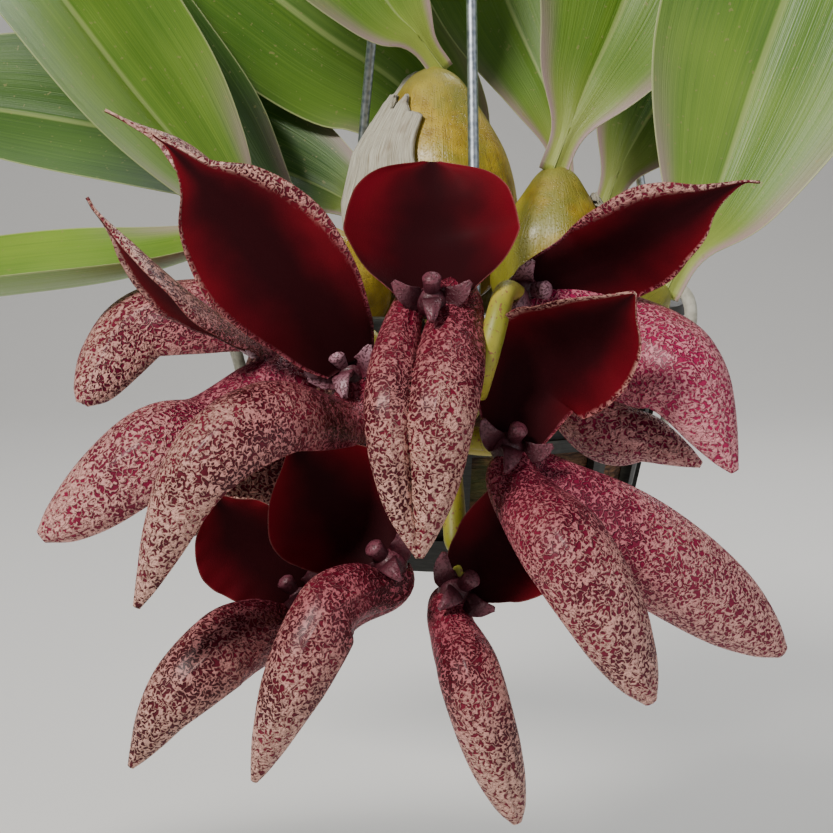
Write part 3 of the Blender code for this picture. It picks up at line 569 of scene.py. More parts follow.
# %% [markdown]
# ## Making the sepals
# The dorsal sepal is a broad hood with a drawn-out tip, and the laterals are heavy tusks. A
# single sculpted mesh would show more wrinkles, but routes and outlines keep every flower
# different and still in one style. The margins wave a little, with a seed for each sepal, and
# the tips of four hoods run on as fine threads, as on the real flowers.

# %% Outlines and sepals
DORSAL = ((0, 0.40), (0.15, 0.70), (0.4, 0.98), (0.6, 1), (0.8, 0.72), (0.92, 0.3), (1, 0.04))
BLUNT = ((0, 0.45), (0.15, 0.76), (0.38, 0.98), (0.58, 1), (0.77, 0.90), (0.91, 0.62), (1, 0.10))
TUSK = ((0, 0.55), (0.15, 0.8), (0.35, 1), (0.6, 0.9), (0.8, 0.6), (0.93, 0.3), (1, 0.07))
BLUNT_TUSK = ((0, 0.55), (0.15, 0.8), (0.35, 1), (0.6, 0.97), (0.8, 0.80), (0.93, 0.50), (1, 0.14))
BLUNT_HOODS, BLUNT_TIPS = "a", "ceg"
DORSAL_THICKNESS, LATERAL_THICKNESS = (1.5, 0.6), (2.4, 0.9)
DORSAL_GRID, LATERAL_GRID = (90, 45), (110, 51)
DORSAL_SEED, LATERAL_SEED = 100, 200
THREADS = {"b": (-6.0, 1.0, 5.0), "c": (-3.0, -1.0, 4.0), "h": (-4.0, 0.0, 2.0), "f": (4.5, 0.0, 0.5)}
THREAD_STARTS = 0.88
ROLLED = {"b": (0, 0.22), "c": (0.16, 0.16), "e": (0.13, 0), "f": (0.30, 0)}
# How pink each flower's dorsal and two laterals are: partly their own colour, partly painted light shining
# through the sepal.
PINK_AND_PAINTED_GLOW = {"f": (0.1, 0.95, 0.55), "e": (0.0, 0.12, 0.3), "c": (0.0, 0.2, 0.3)}


def dorsal_skin(letter, bloom, seed, tone):
    """The hood. Where it has a thread, its outline ends sooner and the thread runs on from there."""
    sepal, route = bloom.dorsal, list(bloom.dorsal.route)
    outline = BLUNT if letter in BLUNT_HOODS else DORSAL
    if letter in THREADS:
        route.append(tuple(np.add(route[-1], THREADS[letter])))
        outline = [(place * THREAD_STARTS, width) for place, width in DORSAL[:-1]] + [(0.93, 0.05), (1, 0.02)]
    return blade(route, sepal.faces, outline, sepal.half_width, sepal.cup, DORSAL_THICKNESS, DORSAL_GRID,
                 sepal.curl, wave=1.0, nerves=0.05, seed=seed, tone=tone, rolled=ROLLED.get(letter, (0, 0)))


def lateral_skin(letter, bloom, sepal, seed, tone):
    """One tusk, which starts a fifth of the way from the flower's base to its own first point."""
    base = np.array(bloom.base, float)
    route = [base + 0.2 * (np.array(sepal.route[0]) - base), *sepal.route]
    outline = BLUNT_TUSK if letter in BLUNT_TIPS else TUSK
    return blade(route, sepal.faces, outline, sepal.half_width, sepal.cup, LATERAL_THICKNESS, LATERAL_GRID,
                 sepal.curl, wave=0.8, nerves=0.03, ridge=0.3, flesh=0.16, seed=seed, tone=tone)


for number, (letter, bloom) in enumerate(BLOOMS.items()):
    # Pink of the three sepals: partly own colour, partly painted light shining through them.
    pink_and_glow = PINK_AND_PAINTED_GLOW.get(letter, (0.0, 0.0, 0.0))
    node = f"bloom_{letter}"
    hood = dorsal_skin(letter, bloom, DORSAL_SEED + number, pink_and_glow[0])
    add_piece(f"{node}_dorsal_sepal", [hood], from_umbel, sepal_skin, "petal", node)
    for hand, sepal in enumerate(bloom.laterals):
        tusk = lateral_skin(letter, bloom, sepal, LATERAL_SEED + 10 * number + hand, pink_and_glow[1 + hand])
        add_piece(f"{node}_lateral_sepal_{hand + 1}", [tusk], from_umbel, sepal_skin, "petal", node)
print("sepals:", 3 * len(BLOOMS))

# %% [markdown]
# ## The heart of a flower
# Between the sepals sit two small petals, a tongue-like lip and the column, with fine dark
# freckles, on a swollen green-yellow neck. Four hearts are lilac grey and the others dark.
# They are small in the photograph but give the dark hood its depth. The petals and lip are
# the same blade as a sepal, only less.

# %% Heart finish and tubes
LILAC_FOOT, LILAC, FRECKLE = (0.10, 0.012, 0.026), (0.38, 0.19, 0.24), (0.055, 0.003, 0.010)
DARK_FOOT, DARK_TIP = (0.035, 0.002, 0.007), (0.15, 0.035, 0.055)
STALK_SHADE, STALK_LIGHT, FLECK = (0.26, 0.27, 0.018), (0.46, 0.38, 0.045), (0.22, 0.03, 0.05)
POLE_GAP = 0.12


def heart_finish():
    f = Finish("petal_lilac")
    freckles = f.noise(f.place(), 2400, 1.0).between(0.50, 0.60)
    along = f.field("along")
    lilac = f.mix(LILAC_FOOT, LILAC, along.between(0.2, 0.9))
    dark = f.mix(DARK_FOOT, DARK_TIP, along.between(0.3, 1.0))
    colour = f.layers(dark, (lilac, f.field("tone")), (FRECKLE, freckles * 0.8))
    return f.done(Base_Color=colour, Roughness=0.45 + freckles * 0.1,
                  Normal=f.bump(freckles, 0.00012, 0.5))


def stalk_finish():
    f = Finish("stalk_green", Sheen_Weight=0.05)
    where = f.place()
    patches, flecks = f.noise(where, 140), f.noise(where, 1500, 1.0).between(0.64, 0.70)
    colour = f.layers(STALK_SHADE, (STALK_LIGHT, patches.between(0.3, 0.7)), (FLECK, flecks * 0.7))
    return f.done(Base_Color=colour, Roughness=0.42 + patches * 0.15,
                  Normal=f.bump(patches + flecks * 0.3, 0.0002, 0.5))


petal_lilac, stalk_green = heart_finish(), stalk_finish()


def tube(points, radii, around=20, wrap=False, tone=0.0):
    """Rings of a round tube: point + radius x (cosine x one side + sine x the other)."""
    points = np.asarray(points, float)
    rows = len(points)
    ahead = np.roll(points, -1, 0) - np.roll(points, 1, 0) if wrap else np.gradient(points, axis=0)
    tangent = unit(ahead)
    flattest = np.linalg.svd(tangent)[2][2]
    across = unit(np.cross(tangent, flattest))
    other = np.cross(tangent, across)
    turn = np.linspace(0, 2 * math.pi, around, endpoint=False)
    radii = np.broadcast_to(np.asarray(radii, float).reshape(-1, 1), (rows, around))
    rings = points[:, None] + radii[..., None] * (np.cos(turn)[None, :, None] * across[:, None]
                                                  + np.sin(turn)[None, :, None] * other[:, None])
    return skin(rings, wrap, along=np.linspace(0, 1, rows)[:, None], across=np.cos(turn)[None],
                inner=0.5, tone=tone)


def rounded(radii):
    """Rounds both ends of a tube by drawing its first and last rings in."""
    radii = np.array(radii, float)
    radii[[0, -1]] *= 0.35
    radii[[1, -2]] *= 0.8
    return radii


def run(route, widths, rows, around=20, tone=0.0):
    """A tube along a smooth line, with its radius read from evenly spaced widths."""
    radii = np.interp(np.linspace(0, 1, rows), np.linspace(0, 1, len(widths)), widths)
    return tube(smooth_line(route, rows), rounded(radii), around, tone=tone)


def globe(centre, radius, rows=16, around=24):
    """Rings of a ball: radius x sine of the polar angle, at a height of its cosine."""
    polar = np.linspace(POLE_GAP, math.pi - POLE_GAP, rows)
    points = np.array(centre) + np.stack([0 * polar, 0 * polar, -radius * np.cos(polar)], -1)
    return tube(points, radius * np.sin(polar), around)


# %% Petals, lips, columns and necks
NECK, NECK_RADII = 7.0, (1.9, 1.6)
LILAC_HEARTS, HEART_SEED = "bcfh", 300
STRAP = ((0, 0.5), (0.3, 1), (0.7, 0.7), (1, 0.2))
PETAL_THICKNESS, LIP_THICKNESS, SMALL_GRID = (0.8, 0.5), (1.6, 0.9), (28, 17)
COLUMN_RADII, CORE_RADIUS = (1.2, 1.4, 1.8), 2.9


def heart_skins(bloom, seed, tone):
    """Petals, lip, column and core, then the neck, placed by the way that the hood looks."""
    base = np.array(bloom.base, float)
    forward = unit(bloom.dorsal.faces)
    rise = np.array(bloom.dorsal.route[1], float) - base
    up = unit(rise - forward * (rise @ forward))
    side = np.cross(up, forward)

    def at(out, high, ahead):
        return base + out * side + high * up + ahead * forward

    petals = [blade([at(1.2 * hand, 0, 0), at(4.4 * hand, 1.2, 2.8), at(6.6 * hand, 3.4, 3.4)], forward,
                    STRAP, 2.1, 20, PETAL_THICKNESS, SMALL_GRID, wave=0.8, seed=seed + hand, tone=tone)
              for hand in (-1, 1)]
    lip = blade([at(0, 0, 1), at(0, -0.5, 5), at(0, -3.5, 7)], up, STRAP, 2.0, 30, LIP_THICKNESS,
                SMALL_GRID, wave=0.5, seed=seed + 5, tone=tone)
    column = run([base, at(0, 2.6, 2), at(0, 4.6, 3.6)], COLUMN_RADII, 16, tone=tone)
    neck = run([base, base - unit(base) * NECK], NECK_RADII, 14)
    return [*petals, lip, column, globe(base, CORE_RADIUS)], [neck]


for number, (letter, bloom) in enumerate(BLOOMS.items()):
    hearts, necks = heart_skins(bloom, HEART_SEED + 10 * number, float(letter in LILAC_HEARTS))
    node = f"bloom_{letter}"
    add_piece(f"{node}_heart", hearts, from_umbel, petal_lilac, "petal", node)
    add_piece(f"{node}_neck", necks, from_umbel, stalk_green, "petal", node)
print("hearts:", len(BLOOMS))

# %% [markdown]
# ## The stalks
# One peduncle hangs from the base of the newest bulb, and a pedicel runs from its end to
# each flower. They are plain tubes, a little swollen below each flower. One more pedicel comes
# forward between two hoods, where the photograph shows it.

# %% Stalks
STALK_START = (16.2, -57.0, -15.2)
FRONT_PEDICEL = ((0, 0, 0), (3, -12, 4), (5, -20, 11), (6.8, -20.5, 18), (8.8, -16, 24), (12, -7, 24))
PEDUNCLE_RADII, PEDICEL_RADII, JOINT_RADIUS = (2.4, 2.2), (1.5, 1.5, 2.1, 1.7), 3.0
FRONT_RADII = (1.4, 1.6, 1.9, 2.1, 1.9, 1.2)


def stalk_skins():
    """The joint, the peduncle and the pedicels. The start is turned back from the rim's frame."""
    x, y, z = np.array(STALK_START) - UMBEL_PLACE
    c, s = math.cos(UMBEL_TIP), math.sin(UMBEL_TIP)
    start, umbel = np.array((x, y * c + z * s, z * c - y * s)), (0, 0, 0)
    skins = [globe(umbel, JOINT_RADIUS)]
    skins.append(run([start, start * 0.6 + (0, 0, -4), (3, 1, -2), umbel], PEDUNCLE_RADII, 40))
    for bloom in BLOOMS.values():
        base = np.array(bloom.base, float)
        end = base - unit(base) * NECK
        skins.append(run([umbel, end * 0.5, end], PEDICEL_RADII, 20))
    skins.append(run(FRONT_PEDICEL, FRONT_RADII, 60))
    return skins


stalks = stalk_skins()
add_piece("stalk_and_pedicels", stalks, from_umbel, stalk_green, "stalk", "flower_stalk")
print("stalks:", len(stalks))

# %% [markdown]
# ## Where the bulbs, the leaves and the rhizome lie
# The bulbs sit along the rhizome, each with its base just over it. One leaf stands on each
# bulb and takes its number. The photograph shows two bulbs and seven leaves. The others follow
# from them, because a leaf of this plant always has a bulb of its own.

# %% Table of bulbs, leaves and rhizome
Bulb = namedtuple("Bulb", "base top radius")
Leaf = namedtuple("Leaf", "route half_width faces")

BULBS = {
    1: Bulb((-4.6, 2, -4), (-5, 2, 47), 17),
    2: Bulb((18, -22, -8), (18.5, -22, 28), 12),
    3: Bulb((16, -55, -10), (38, -43, 6), 8.5),
    4: Bulb((-15, -20, -2), (-37, -30, 17), 8.5),
    5: Bulb((-25, -5, -8), (-35, -9, 11), 9.5),
    6: Bulb((-30.2, 14, -8.4), (-31, 12, 8), 8.5),
    7: Bulb((2, 30, -8), (3, 31, 20), 10),
    8: Bulb((30, 1, -8), (30, 2, 18), 10),
    9: Bulb((22, 20, -8), (22, 21, 22), 10),
    10: Bulb((-17, 26, -8), (-17, 27, 12), 9),
}

LEAVES = {
    1: Leaf([(-5, 2, 47.5), (-9, 1, 53), (-15, 0, 60), (-30, -3, 84), (-50, -4, 112), (-66, 0, 136),
             (-74, 6, 150)], 23, (0.3, -1, 0.2)),
    2: Leaf([(18.5, -22, 28.5), (24, -19, 42), (32, -12, 59), (46, -1, 95), (62, 10, 128), (74, 24, 155)],
            24, (0, -1, 0.2)),
    3: Leaf([(38.5, -42.7, 6.6), (42, -41, 13), (48, -36, 24), (57, -29, 48), (70, -20, 80), (86, -5, 112),
             (98, 10, 136)], 25, (0, -1, 0.2)),
    4: Leaf([(-35.3, -9.2, 11.5), (-40.7, -12, 16), (-48.7, -15, 24), (-63.6, -16, 42), (-79.5, -16, 63),
             (-98, -13, 86), (-114, -8, 104), (-126, -2, 114)], 22, (0.35, -0.6, 0.7)),
    5: Leaf([(-31, 12, 8.5), (-38, 12, 16), (-48, 14, 27), (-62, 18, 44), (-80, 20, 67), (-98, 18, 87),
             (-112, 16, 99)], 19, (0.6, -0.6, 0.5)),
    6: Leaf([(-37.3, -30.2, 17.4), (-46, -33, 13.5), (-64, -36, 8.5), (-92, -38, 5), (-120, -38, 1),
             (-146, -36, -5), (-158, -34, -10)], 22, (0, -0.14, 1)),
    7: Leaf([(-17, 27, 12.5), (-28, 35, 20), (-50, 40, 28), (-80, 44, 34), (-110, 46, 38), (-135, 46, 36)],
            22, (0.1, -0.7, 0.7)),
    8: Leaf([(3, 31, 20.5), (0, 42, 29), (-13, 50, 43), (-32, 52, 56), (-62, 54, 80), (-86, 56, 104),
             (-104, 62, 122)], 24, (0.2, -1, 0.3)),
    9: Leaf([(22, 21, 22.5), (20, 24, 38), (10, 31, 62), (-2, 36, 95), (-14, 39, 130), (-22, 43, 158)],
            18, (0, -1, 0.2)),
    10: Leaf([(30, 2, 18.5), (35, 5, 30), (49, 10, 52), (72, 18, 84), (95, 26, 112), (112, 34, 132)],
             23, (0, -1, 0.3)),
}

RHIZOME = [(-31, 13, -11.6), (-26, 21, -12), (-17, 27, -11.6), (-8, 29, -12), (2, 30, -11.6),
           (13, 26, -12), (22, 20, -11.6), (28, 11, -12), (30, 1, -11.6), (26, -12, -12),
           (18, -22, -11.6), (16.4, -29, -8.5), (15.4, -33.4, -3.2), (14.6, -36.6, 2),
           (13.8, -40.8, 4.3), (12.6, -45.5, 4.8), (11.2, -50.4, 3), (10.2, -53, -2),
           (10.6, -56, -8.5), (14.4, -56.4, -12.6)]
RHIZOME_BRANCH = [(-31, 13, -11.6), (-30, 4, -12), (-25, -5, -11.6), (-20, -14, -8.6), (-15, -20, -5.6),
                  (-4, -25, -9), (8, -26, -11), (18, -22, -11.6)]
RHIZOME_TO_FIRST = [(-25, -5, -11.6), (-14, 0, -9.2), (-4.6, 2, -6.7), (-1, 2.6, -6.7)]

print("bulbs in the table:", len(BULBS), "and leaves:", len(LEAVES))

# %% [markdown]
# ## Leaves
# A leaf of this plant is a stiff strap, folded a little along a pale midrib, with fine nerves
# running its whole length and a thin pale margin. It is the same blade as a sepal with a
# sharper fold, and the nerves are both in its shape and, finer, in its finish. Its foot is
# sunk a little into its bulb and is thicker there.

# %% Leaf finish
FRESH, FRESH_LIGHT = (0.095, 0.215, 0.012), (0.21, 0.34, 0.030)
# The deep greens are partly the back leaves' own darker green and partly painted shade on them.
DEEP_GREEN_AND_SHADE, LIGHTER_DEEP_GREEN_AND_SHADE = (0.012, 0.055, 0.008), (0.045, 0.125, 0.020)
VEIN, YOUNG_FOOT, FLUSH = (0.26, 0.38, 0.08), (0.40, 0.44, 0.08), (0.42, 0.24, 0.30)
MIDRIB, LEAF_RIM = (0.42, 0.50, 0.18), (0.52, 0.56, 0.26)
UNDERSIDE, SPECK = (0.22, 0.30, 0.09), (0.30, 0.26, 0.10)


def leaf_finish():
    f = Finish("leaf_green", Coat_Weight=0.12, Coat_Roughness=0.35, Specular_IOR_Level=0.45)
    where = f.place()
    along, across, inner, tone = (f.field(name) for name in ("along", "across", "inner", "tone"))
    streaks = f.noise(f.vector(across * 34, along * 3, tone * 9), 1.0, 2.0, 0.6)
    veins = f.noise(f.vector(across * 90, along * 2.2, tone * 5), 1.0, 1.0)
    clouds, edge = f.noise(where, 34), across.size()
    light = (clouds * 0.6 + streaks * 0.4).between(0.3, 0.7)
    specks = f.noise(where, 900, 1.0).between(0.70, 0.74)
    # Tone moves a leaf from the fresh to the deep greens: partly own colour, partly painted shade on the
    # leaves further back.
    colour = f.layers(f.mix(FRESH, FRESH_LIGHT, light), (f.mix(DEEP_GREEN_AND_SHADE, LIGHTER_DEEP_GREEN_AND_SHADE, light), tone),
                      (VEIN, veins.between(0.55, 0.75) * 0.22), (YOUNG_FOOT, along.between(0.18, 0.0) * 0.8),
                      (FLUSH, edge.between(0.62, 0.98) * along.between(0.34, 0.04) * 0.85),
                      (MIDRIB, edge.between(0.05, 0.012) * 0.5), (LEAF_RIM, edge.between(0.975, 0.993) * 0.6),
                      (UNDERSIDE, (1 - inner) * 0.35), (SPECK, specks * 0.5))
    height = veins * 0.6 + streaks * 0.4 + f.noise(where, 1800) * 0.2
    return f.done(Base_Color=colour, Roughness=0.36 + clouds * 0.16 + (1 - inner) * 0.1,
                  Normal=f.bump(height, 0.00025, 0.55))


leaf_green = leaf_finish()

# %% Making the leaves
LEAF = ((0, 0.12), (0.06, 0.16), (0.14, 0.5), (0.3, 0.9), (0.5, 1), (0.7, 0.93), (0.87, 0.6),
        (0.96, 0.25), (1, 0.03))
LEAST_PLACES, LEAST_WIDTHS = (0, 0.1, 0.97, 1), (2.6, 2.8, 1.0, 0.3)
LEAF_CUP, LEAF_THICKNESS, LEAF_GRID, LEAF_SEED = 32, (1.3, 0.7), (110, 45), 400
FOLD, SWAY, FOOT, NERVES, KEEL = -1.0, 0.9, 1.1, 0.035, 0.45
SUNK_BASE, FOOT_SHARE = 2.6, 0.12
# How deep green each leaf is: partly its own colour, partly painted shade, darkest on the back leaves.
LEAF_GREEN_AND_SHADE = {1: 0.05, 2: 0.35, 3: 0.25, 4: 0.2, 5: 0.75, 6: 0.0, 7: 0.8, 8: 0.45, 9: 0.5, 10: 0.7}


def leaf_skin(number, leaf):
    """A strap with a fold along its midrib, a keel behind it, nerves and a thicker foot."""
    rows, columns = LEAF_GRID
    along = np.linspace(0, 1, rows)
    least = np.interp(along, LEAST_PLACES, LEAST_WIDTHS)
    width = np.maximum(share_along(LEAF, rows) * leaf.half_width, least)
    base = np.array(leaf.route[0], float)
    sunk = base - SUNK_BASE * unit(np.array(leaf.route[1], float) - base)
    surface, normal, across = blade_middle([sunk, *leaf.route[1:]], leaf.faces, width, LEAF_CUP, (0, 0),
                                           columns)
    share = (width / width.max())[:, None]
    waves = ripple(along[:, None] * 6, across[None] * 2, LEAF_SEED + number)
    lift = FOLD * crest(across, 0.10) * share + SWAY * share * np.abs(across)[None] ** 2 * waves
    surface = surface + normal[:, None] * lift[..., None]
    middle, edge = LEAF_THICKNESS
    round_edge = np.sqrt(np.maximum(1 - across**2, 0))[None] ** 0.6
    depth = (edge + (middle - edge) * (1 - across**2)[None]) / 2 * round_edge
    depth = depth + FOOT * crest(across, 0.35) * np.interp(along, (0, FOOT_SHARE), (1, 0))[:, None]
    nerves = NERVES * np.cos(across * 40)[None] * round_edge * share
    keel = KEEL * crest(across, 0.05) * share
    return plate(surface, surface_normals(surface, normal), depth + nerves, depth + keel - nerves,
                 LEAF_GREEN_AND_SHADE[number], across)


for number, leaf in LEAVES.items():
    add_piece(f"leaf_blade_{number}", [leaf_skin(number, leaf)], from_basket, leaf_green, "leaf",
              f"leaf_{number}")
print("leaves:", len(LEAVES))

# %% [markdown]
# ## Pseudobulbs
# The bulbs store water. They are egg shaped, ochre yellow going green in the shade, with
# faint ribs and a skin so finely pitted that it glints. A ball stretched along its axis,
# with its radius read from the bulb's own outline, gives the form, and cells in the finish
# give the pits, with painted shade darkening their hollows.

# %% Bulb finish
OCHRE, BRIGHT_OCHRE = (0.27, 0.165, 0.008), (0.56, 0.40, 0.022)
# The pit colour is painted shade in the hollows of the pits.
WRINKLE, BULB_GREEN, PIT_SHADE = (0.20, 0.12, 0.012), (0.17, 0.19, 0.025), (0.16, 0.08, 0.015)
BULB_TOP, BULB_FOOT = (0.30, 0.30, 0.06), (0.14, 0.07, 0.03)


def bulb_finish():
    f = Finish("bulb_ochre", Coat_Weight=0.25, Coat_Roughness=0.25)
    where = f.place()
    along, across, tone = f.field("along"), f.field("across"), f.field("tone")
    clouds, grain = f.noise(where, 75, 3.0, 0.6), f.noise(where, 420)
    pits = f.cells(where, 2000)
    wrinkles = f.noise(f.vector(across * 22, along * 5, tone * 7), 1.0, 3.0, 0.65, 0.5)
    # The pits are painted darker: painted shade in their hollows.
    colour = f.layers(OCHRE, (BRIGHT_OCHRE, (clouds * 0.6 + grain * 0.4).between(0.32, 0.66)),
                      (WRINKLE, wrinkles.between(0.56, 0.68) * 0.45),
                      (BULB_GREEN, (clouds + tone * 0.35 - 0.1).between(0.50, 0.72) * 0.8),
                      (PIT_SHADE, pits.between(0.30, 0.05) * 0.55), (BULB_TOP, along.between(0.82, 1.0) * 0.7),
                      (BULB_FOOT, along.between(0.14, 0.0) * 0.8))
    height = pits.between(0.0, 0.5) * 0.35 + grain * 0.4 - wrinkles * 0.9
    return f.done(Base_Color=colour, Roughness=0.24 + grain * 0.34, Normal=f.bump(height, 0.00035, 0.6))


bulb_ochre = bulb_finish()

# %% Making the bulbs
BULB = ((0, 0), (0.1, 0.62), (0.3, 0.97), (0.45, 1), (0.65, 0.86), (0.85, 0.5), (0.95, 0.28), (1, 0))
BULB_GRID, BULB_SEED = (80, 72), 500
WIDTH_TO_HEIGHT = 0.6
RIBS, RIB_HEIGHT, WRINKLE_HEIGHT = 7, 0.03, 0.012


def bulb_skin(number, bulb):
    """Centre line + radius x outline x (1 + seven ribs + wrinkles), closed at its two poles."""
    rows, around = BULB_GRID
    base, top = np.array(bulb.base, float), np.array(bulb.top, float)
    axis = unit(top - base)
    across = unit(np.cross(axis, (0, 1, 0)))
    third = np.cross(axis, across)
    profile = smooth_line([(height, width * WIDTH_TO_HEIGHT) for height, width in BULB], rows)
    height = np.clip(profile[:, :1], 0, 1)
    share = np.maximum(profile[:, 1:] / WIDTH_TO_HEIGHT, 0.01)
    turn = np.linspace(0, 2 * math.pi, around, endpoint=False)[None]
    ribs = RIB_HEIGHT * np.cos(RIBS * turn) * np.sin(math.pi * height)
    wrinkles = WRINKLE_HEIGHT * ripple(np.cos(turn) * 5 + height * 4, np.sin(turn) * 5, BULB_SEED + number)
    radius = bulb.radius * share * (1 + ribs + wrinkles)
    out = np.cos(turn)[..., None] * across + np.sin(turn)[..., None] * third
    rings = base + (top - base) * height[..., None] + radius[..., None] * out
    return skin(rings, along=height, across=np.cos(turn), inner=0.5, tone=(number % 4) / 3)


for number, bulb in BULBS.items():
    add_piece(f"bulb_{number}", [bulb_skin(number, bulb)], from_basket, bulb_ochre, "pseudobulb",
              f"pseudobulb_{number}")
print("bulbs:", len(BULBS))

# %% [markdown]
# ## Papery sheaths
# While a bulb grows it is wrapped in a sheath, which dries to whitish fibres and then tears
# away. What is left clings to one side. It could be cloth, but it is stiff, so it is a thin
# wall over a part of the bulb, pleated finely along its fibres, with a torn upper edge.

# %% Sheaths
Sheath = namedtuple("Sheath", "bulb turns heights")

SHEATHS = {1: Sheath(1, (95, 255), (0.15, 0.86)), 2: Sheath(2, (-35, 95), (0.3, 0.8)),
           3: Sheath(9, (140, 260), (0.2, 0.7))}
SHEATH_GRID, SHEATH_DEPTH, SHEATH_GAP = (48, 121), 0.28, 1.25
FRAY, TORN = 0.16, 0.16
PAPER_SHADE, PAPER, STAIN, FRESH_PAPER = ((0.25, 0.20, 0.12), (0.66, 0.63, 0.52), (0.22, 0.13, 0.07),
                                          (0.30, 0.31, 0.12))


def paper_finish():
    f = Finish("sheath_paper", Sheen_Weight=0.2)
    along, across = f.field("along"), f.field("across")
    fibres = f.noise(f.vector(across * 120, along * 5), 1.0, 3.0, 0.7)
    blotches = f.noise(f.place(), 160)
    colour = f.layers(PAPER_SHADE, (PAPER, fibres.between(0.30, 0.62)),
                      (STAIN, blotches.between(0.56, 0.74) * 0.6),
                      (FRESH_PAPER, along.between(0.35, 0.0) * 0.5))
    return f.done(Base_Color=colour, Roughness=0.72 + fibres * 0.15,
                  Normal=f.bump(fibres + blotches * 0.3, 0.0005, 0.7))


sheath_paper = paper_finish()


def sheath_skin(number, sheath):
    """A patch round the bulb: its outline + a gap + pleats, frayed at the sides and torn above."""
    bulb = BULBS[sheath.bulb]
    base, top = np.array(bulb.base, float), np.array(bulb.top, float)
    rows, columns = SHEATH_GRID
    sides, part = np.linspace(-1, 1, columns), np.linspace(0, 1, rows)[:, None]
    turn = np.radians(np.linspace(*sheath.turns, columns))[None]
    turn = turn + FRAY * ripple(part * 9, 0 * part, 620 + number, 9) * sides[None]
    torn = TORN * ripple(np.degrees(turn) / 5, 0 * turn, 600 + number, 11)
    height = sheath.heights[0] + (sheath.heights[1] - sheath.heights[0] + torn) * part
    pleats = 0.16 * np.cos(np.degrees(turn) * 0.9)
    pleats = pleats + 0.10 * ripple(np.degrees(turn) / 2.5, part * 2, 610 + number)
    radius = bulb.radius * np.interp(height, *zip(*BULB)) * 1.03 + SHEATH_GAP + pleats
    flat = 0 * (turn + part)
    out = np.stack([np.cos(turn) + flat, np.sin(turn) + flat, flat], axis=-1)
    surface = base + (top - base) * height[..., None] + radius[..., None] * out
    depth = np.full(SHEATH_GRID, SHEATH_DEPTH)
    return plate(surface, out, depth, depth, 0.0, sides)


for number, sheath in SHEATHS.items():
    add_piece(f"paper_sheath_{number}", [sheath_skin(number, sheath)], from_basket, sheath_paper, "sheath",
              f"sheath_{number}")
print("sheaths:", len(SHEATHS))

# %% [markdown]
# ## Rhizome and roots
# The rhizome creeps over the bark from bulb to bulb and over the rim to the newest one. Old
# scale leaves leave rings on it, and silvery roots with green tips run over the rim.

# %% Rhizome finish and shapes
RHIZOME_RUNS = ((RHIZOME, 260, 1.0), (RHIZOME_BRANCH, 150, 0.97), (RHIZOME_TO_FIRST, 60, 0.94))
RHIZOME_RADIUS, ROOT_RADIUS = 3.2, 1.3
ROOT_AZIMUTHS = (66, 104, 139, 176, 262, 335)
ROOT_TAPER = np.array((1.1, 1.0, 1.0, 0.98, 0.95, 0.5))
ROOT_ROWS, ROOT_SIDES, RHIZOME_SIDES = 90, 16, 28
RIM_RADIUS, RIM_DEPTH, BASKET_HEIGHT = 46.5, 3.0, 50.0
WALL_TOP_RADIUS, FOOT_RADIUS = 44.3, 34.0
WOOD_SHADE, WOOD, ROOT_TIP = (0.16, 0.12, 0.045), (0.36, 0.28, 0.11), (0.30, 0.42, 0.10)
SILVER_SHADE, SILVER = (0.42, 0.40, 0.33), (0.60, 0.58, 0.50)


def root_finish():
    f = Finish("root_velamen")
    where = f.place()
    grain, bands = f.noise(where, 520, 3.0, 0.6), f.noise(where, 130)
    wood = f.mix(WOOD_SHADE, WOOD, bands.between(0.35, 0.65))
    velamen = f.layers(SILVER_SHADE, (SILVER, grain.between(0.35, 0.65)),
                       (ROOT_TIP, f.field("along").between(0.93, 0.99)))
    return f.done(Base_Color=f.mix(wood, velamen, f.field("tone")), Roughness=0.66 + grain * 0.2,
                  Normal=f.bump(grain + bands, 0.0004, 0.6))


root_velamen = root_finish()


def polar(radius, azimuth, z):
    """A point by its distance from the basket's axis, its bearing in degrees and its height."""
    turn = math.radians(azimuth)
    return (radius * math.cos(turn), radius * math.sin(turn), z)


def wall_radius(z):
    """How far out the basket's sloping wall is at a height."""
    down = (-z - RIM_DEPTH) / (BASKET_HEIGHT - RIM_DEPTH)
    return WALL_TOP_RADIUS + (FOOT_RADIUS - WALL_TOP_RADIUS) * min(max(down, 0), 1)


def root_route(azimuth):
    """Over the bed and the rim, then down beside the wall, swaying a little."""
    sway = 4 * math.sin(azimuth)
    end = -34 - 8 * math.cos(azimuth)
    clear = ROOT_RADIUS + 0.8
    return [polar(23, azimuth, -10.4), polar(31, azimuth, -11), polar(37, azimuth + 0.3 * sway, -6),
            polar(40.4, azimuth + 0.5 * sway, 0.6), polar(43.6, azimuth + 0.7 * sway, 3),
            polar(RIM_RADIUS + 0.9, azimuth + 0.8 * sway, 2.6),
            polar(RIM_RADIUS + clear, azimuth + sway, -3),
            polar(wall_radius(-14) + clear + 1, azimuth + 2 * sway, -14),
            polar(wall_radius(end) + clear + 0.6, azimuth + 3.5 * sway, end)]


def rhizome_skins():
    """The main run and its two branches, ringed with old scales, then the roots."""
    skins = []
    for route, rows, share in RHIZOME_RUNS:
        along = np.linspace(0, 1, rows)
        scales = 1 + 0.07 * np.cos(along * rows * 0.42) + 0.03 * np.cos(along * rows * 1.1)
        radii = rounded(RHIZOME_RADIUS * share * scales)
        skins.append(tube(smooth_line(route, rows), radii, RHIZOME_SIDES))
    skins += [run(root_route(azimuth), ROOT_RADIUS * ROOT_TAPER, ROOT_ROWS, ROOT_SIDES, tone=1.0)
              for azimuth in ROOT_AZIMUTHS]
    return skins


runs = rhizome_skins()
add_piece("creeping_rhizome", runs, from_basket, root_velamen, "rhizome", "rhizome")
print("rhizome runs and roots:", len(runs))

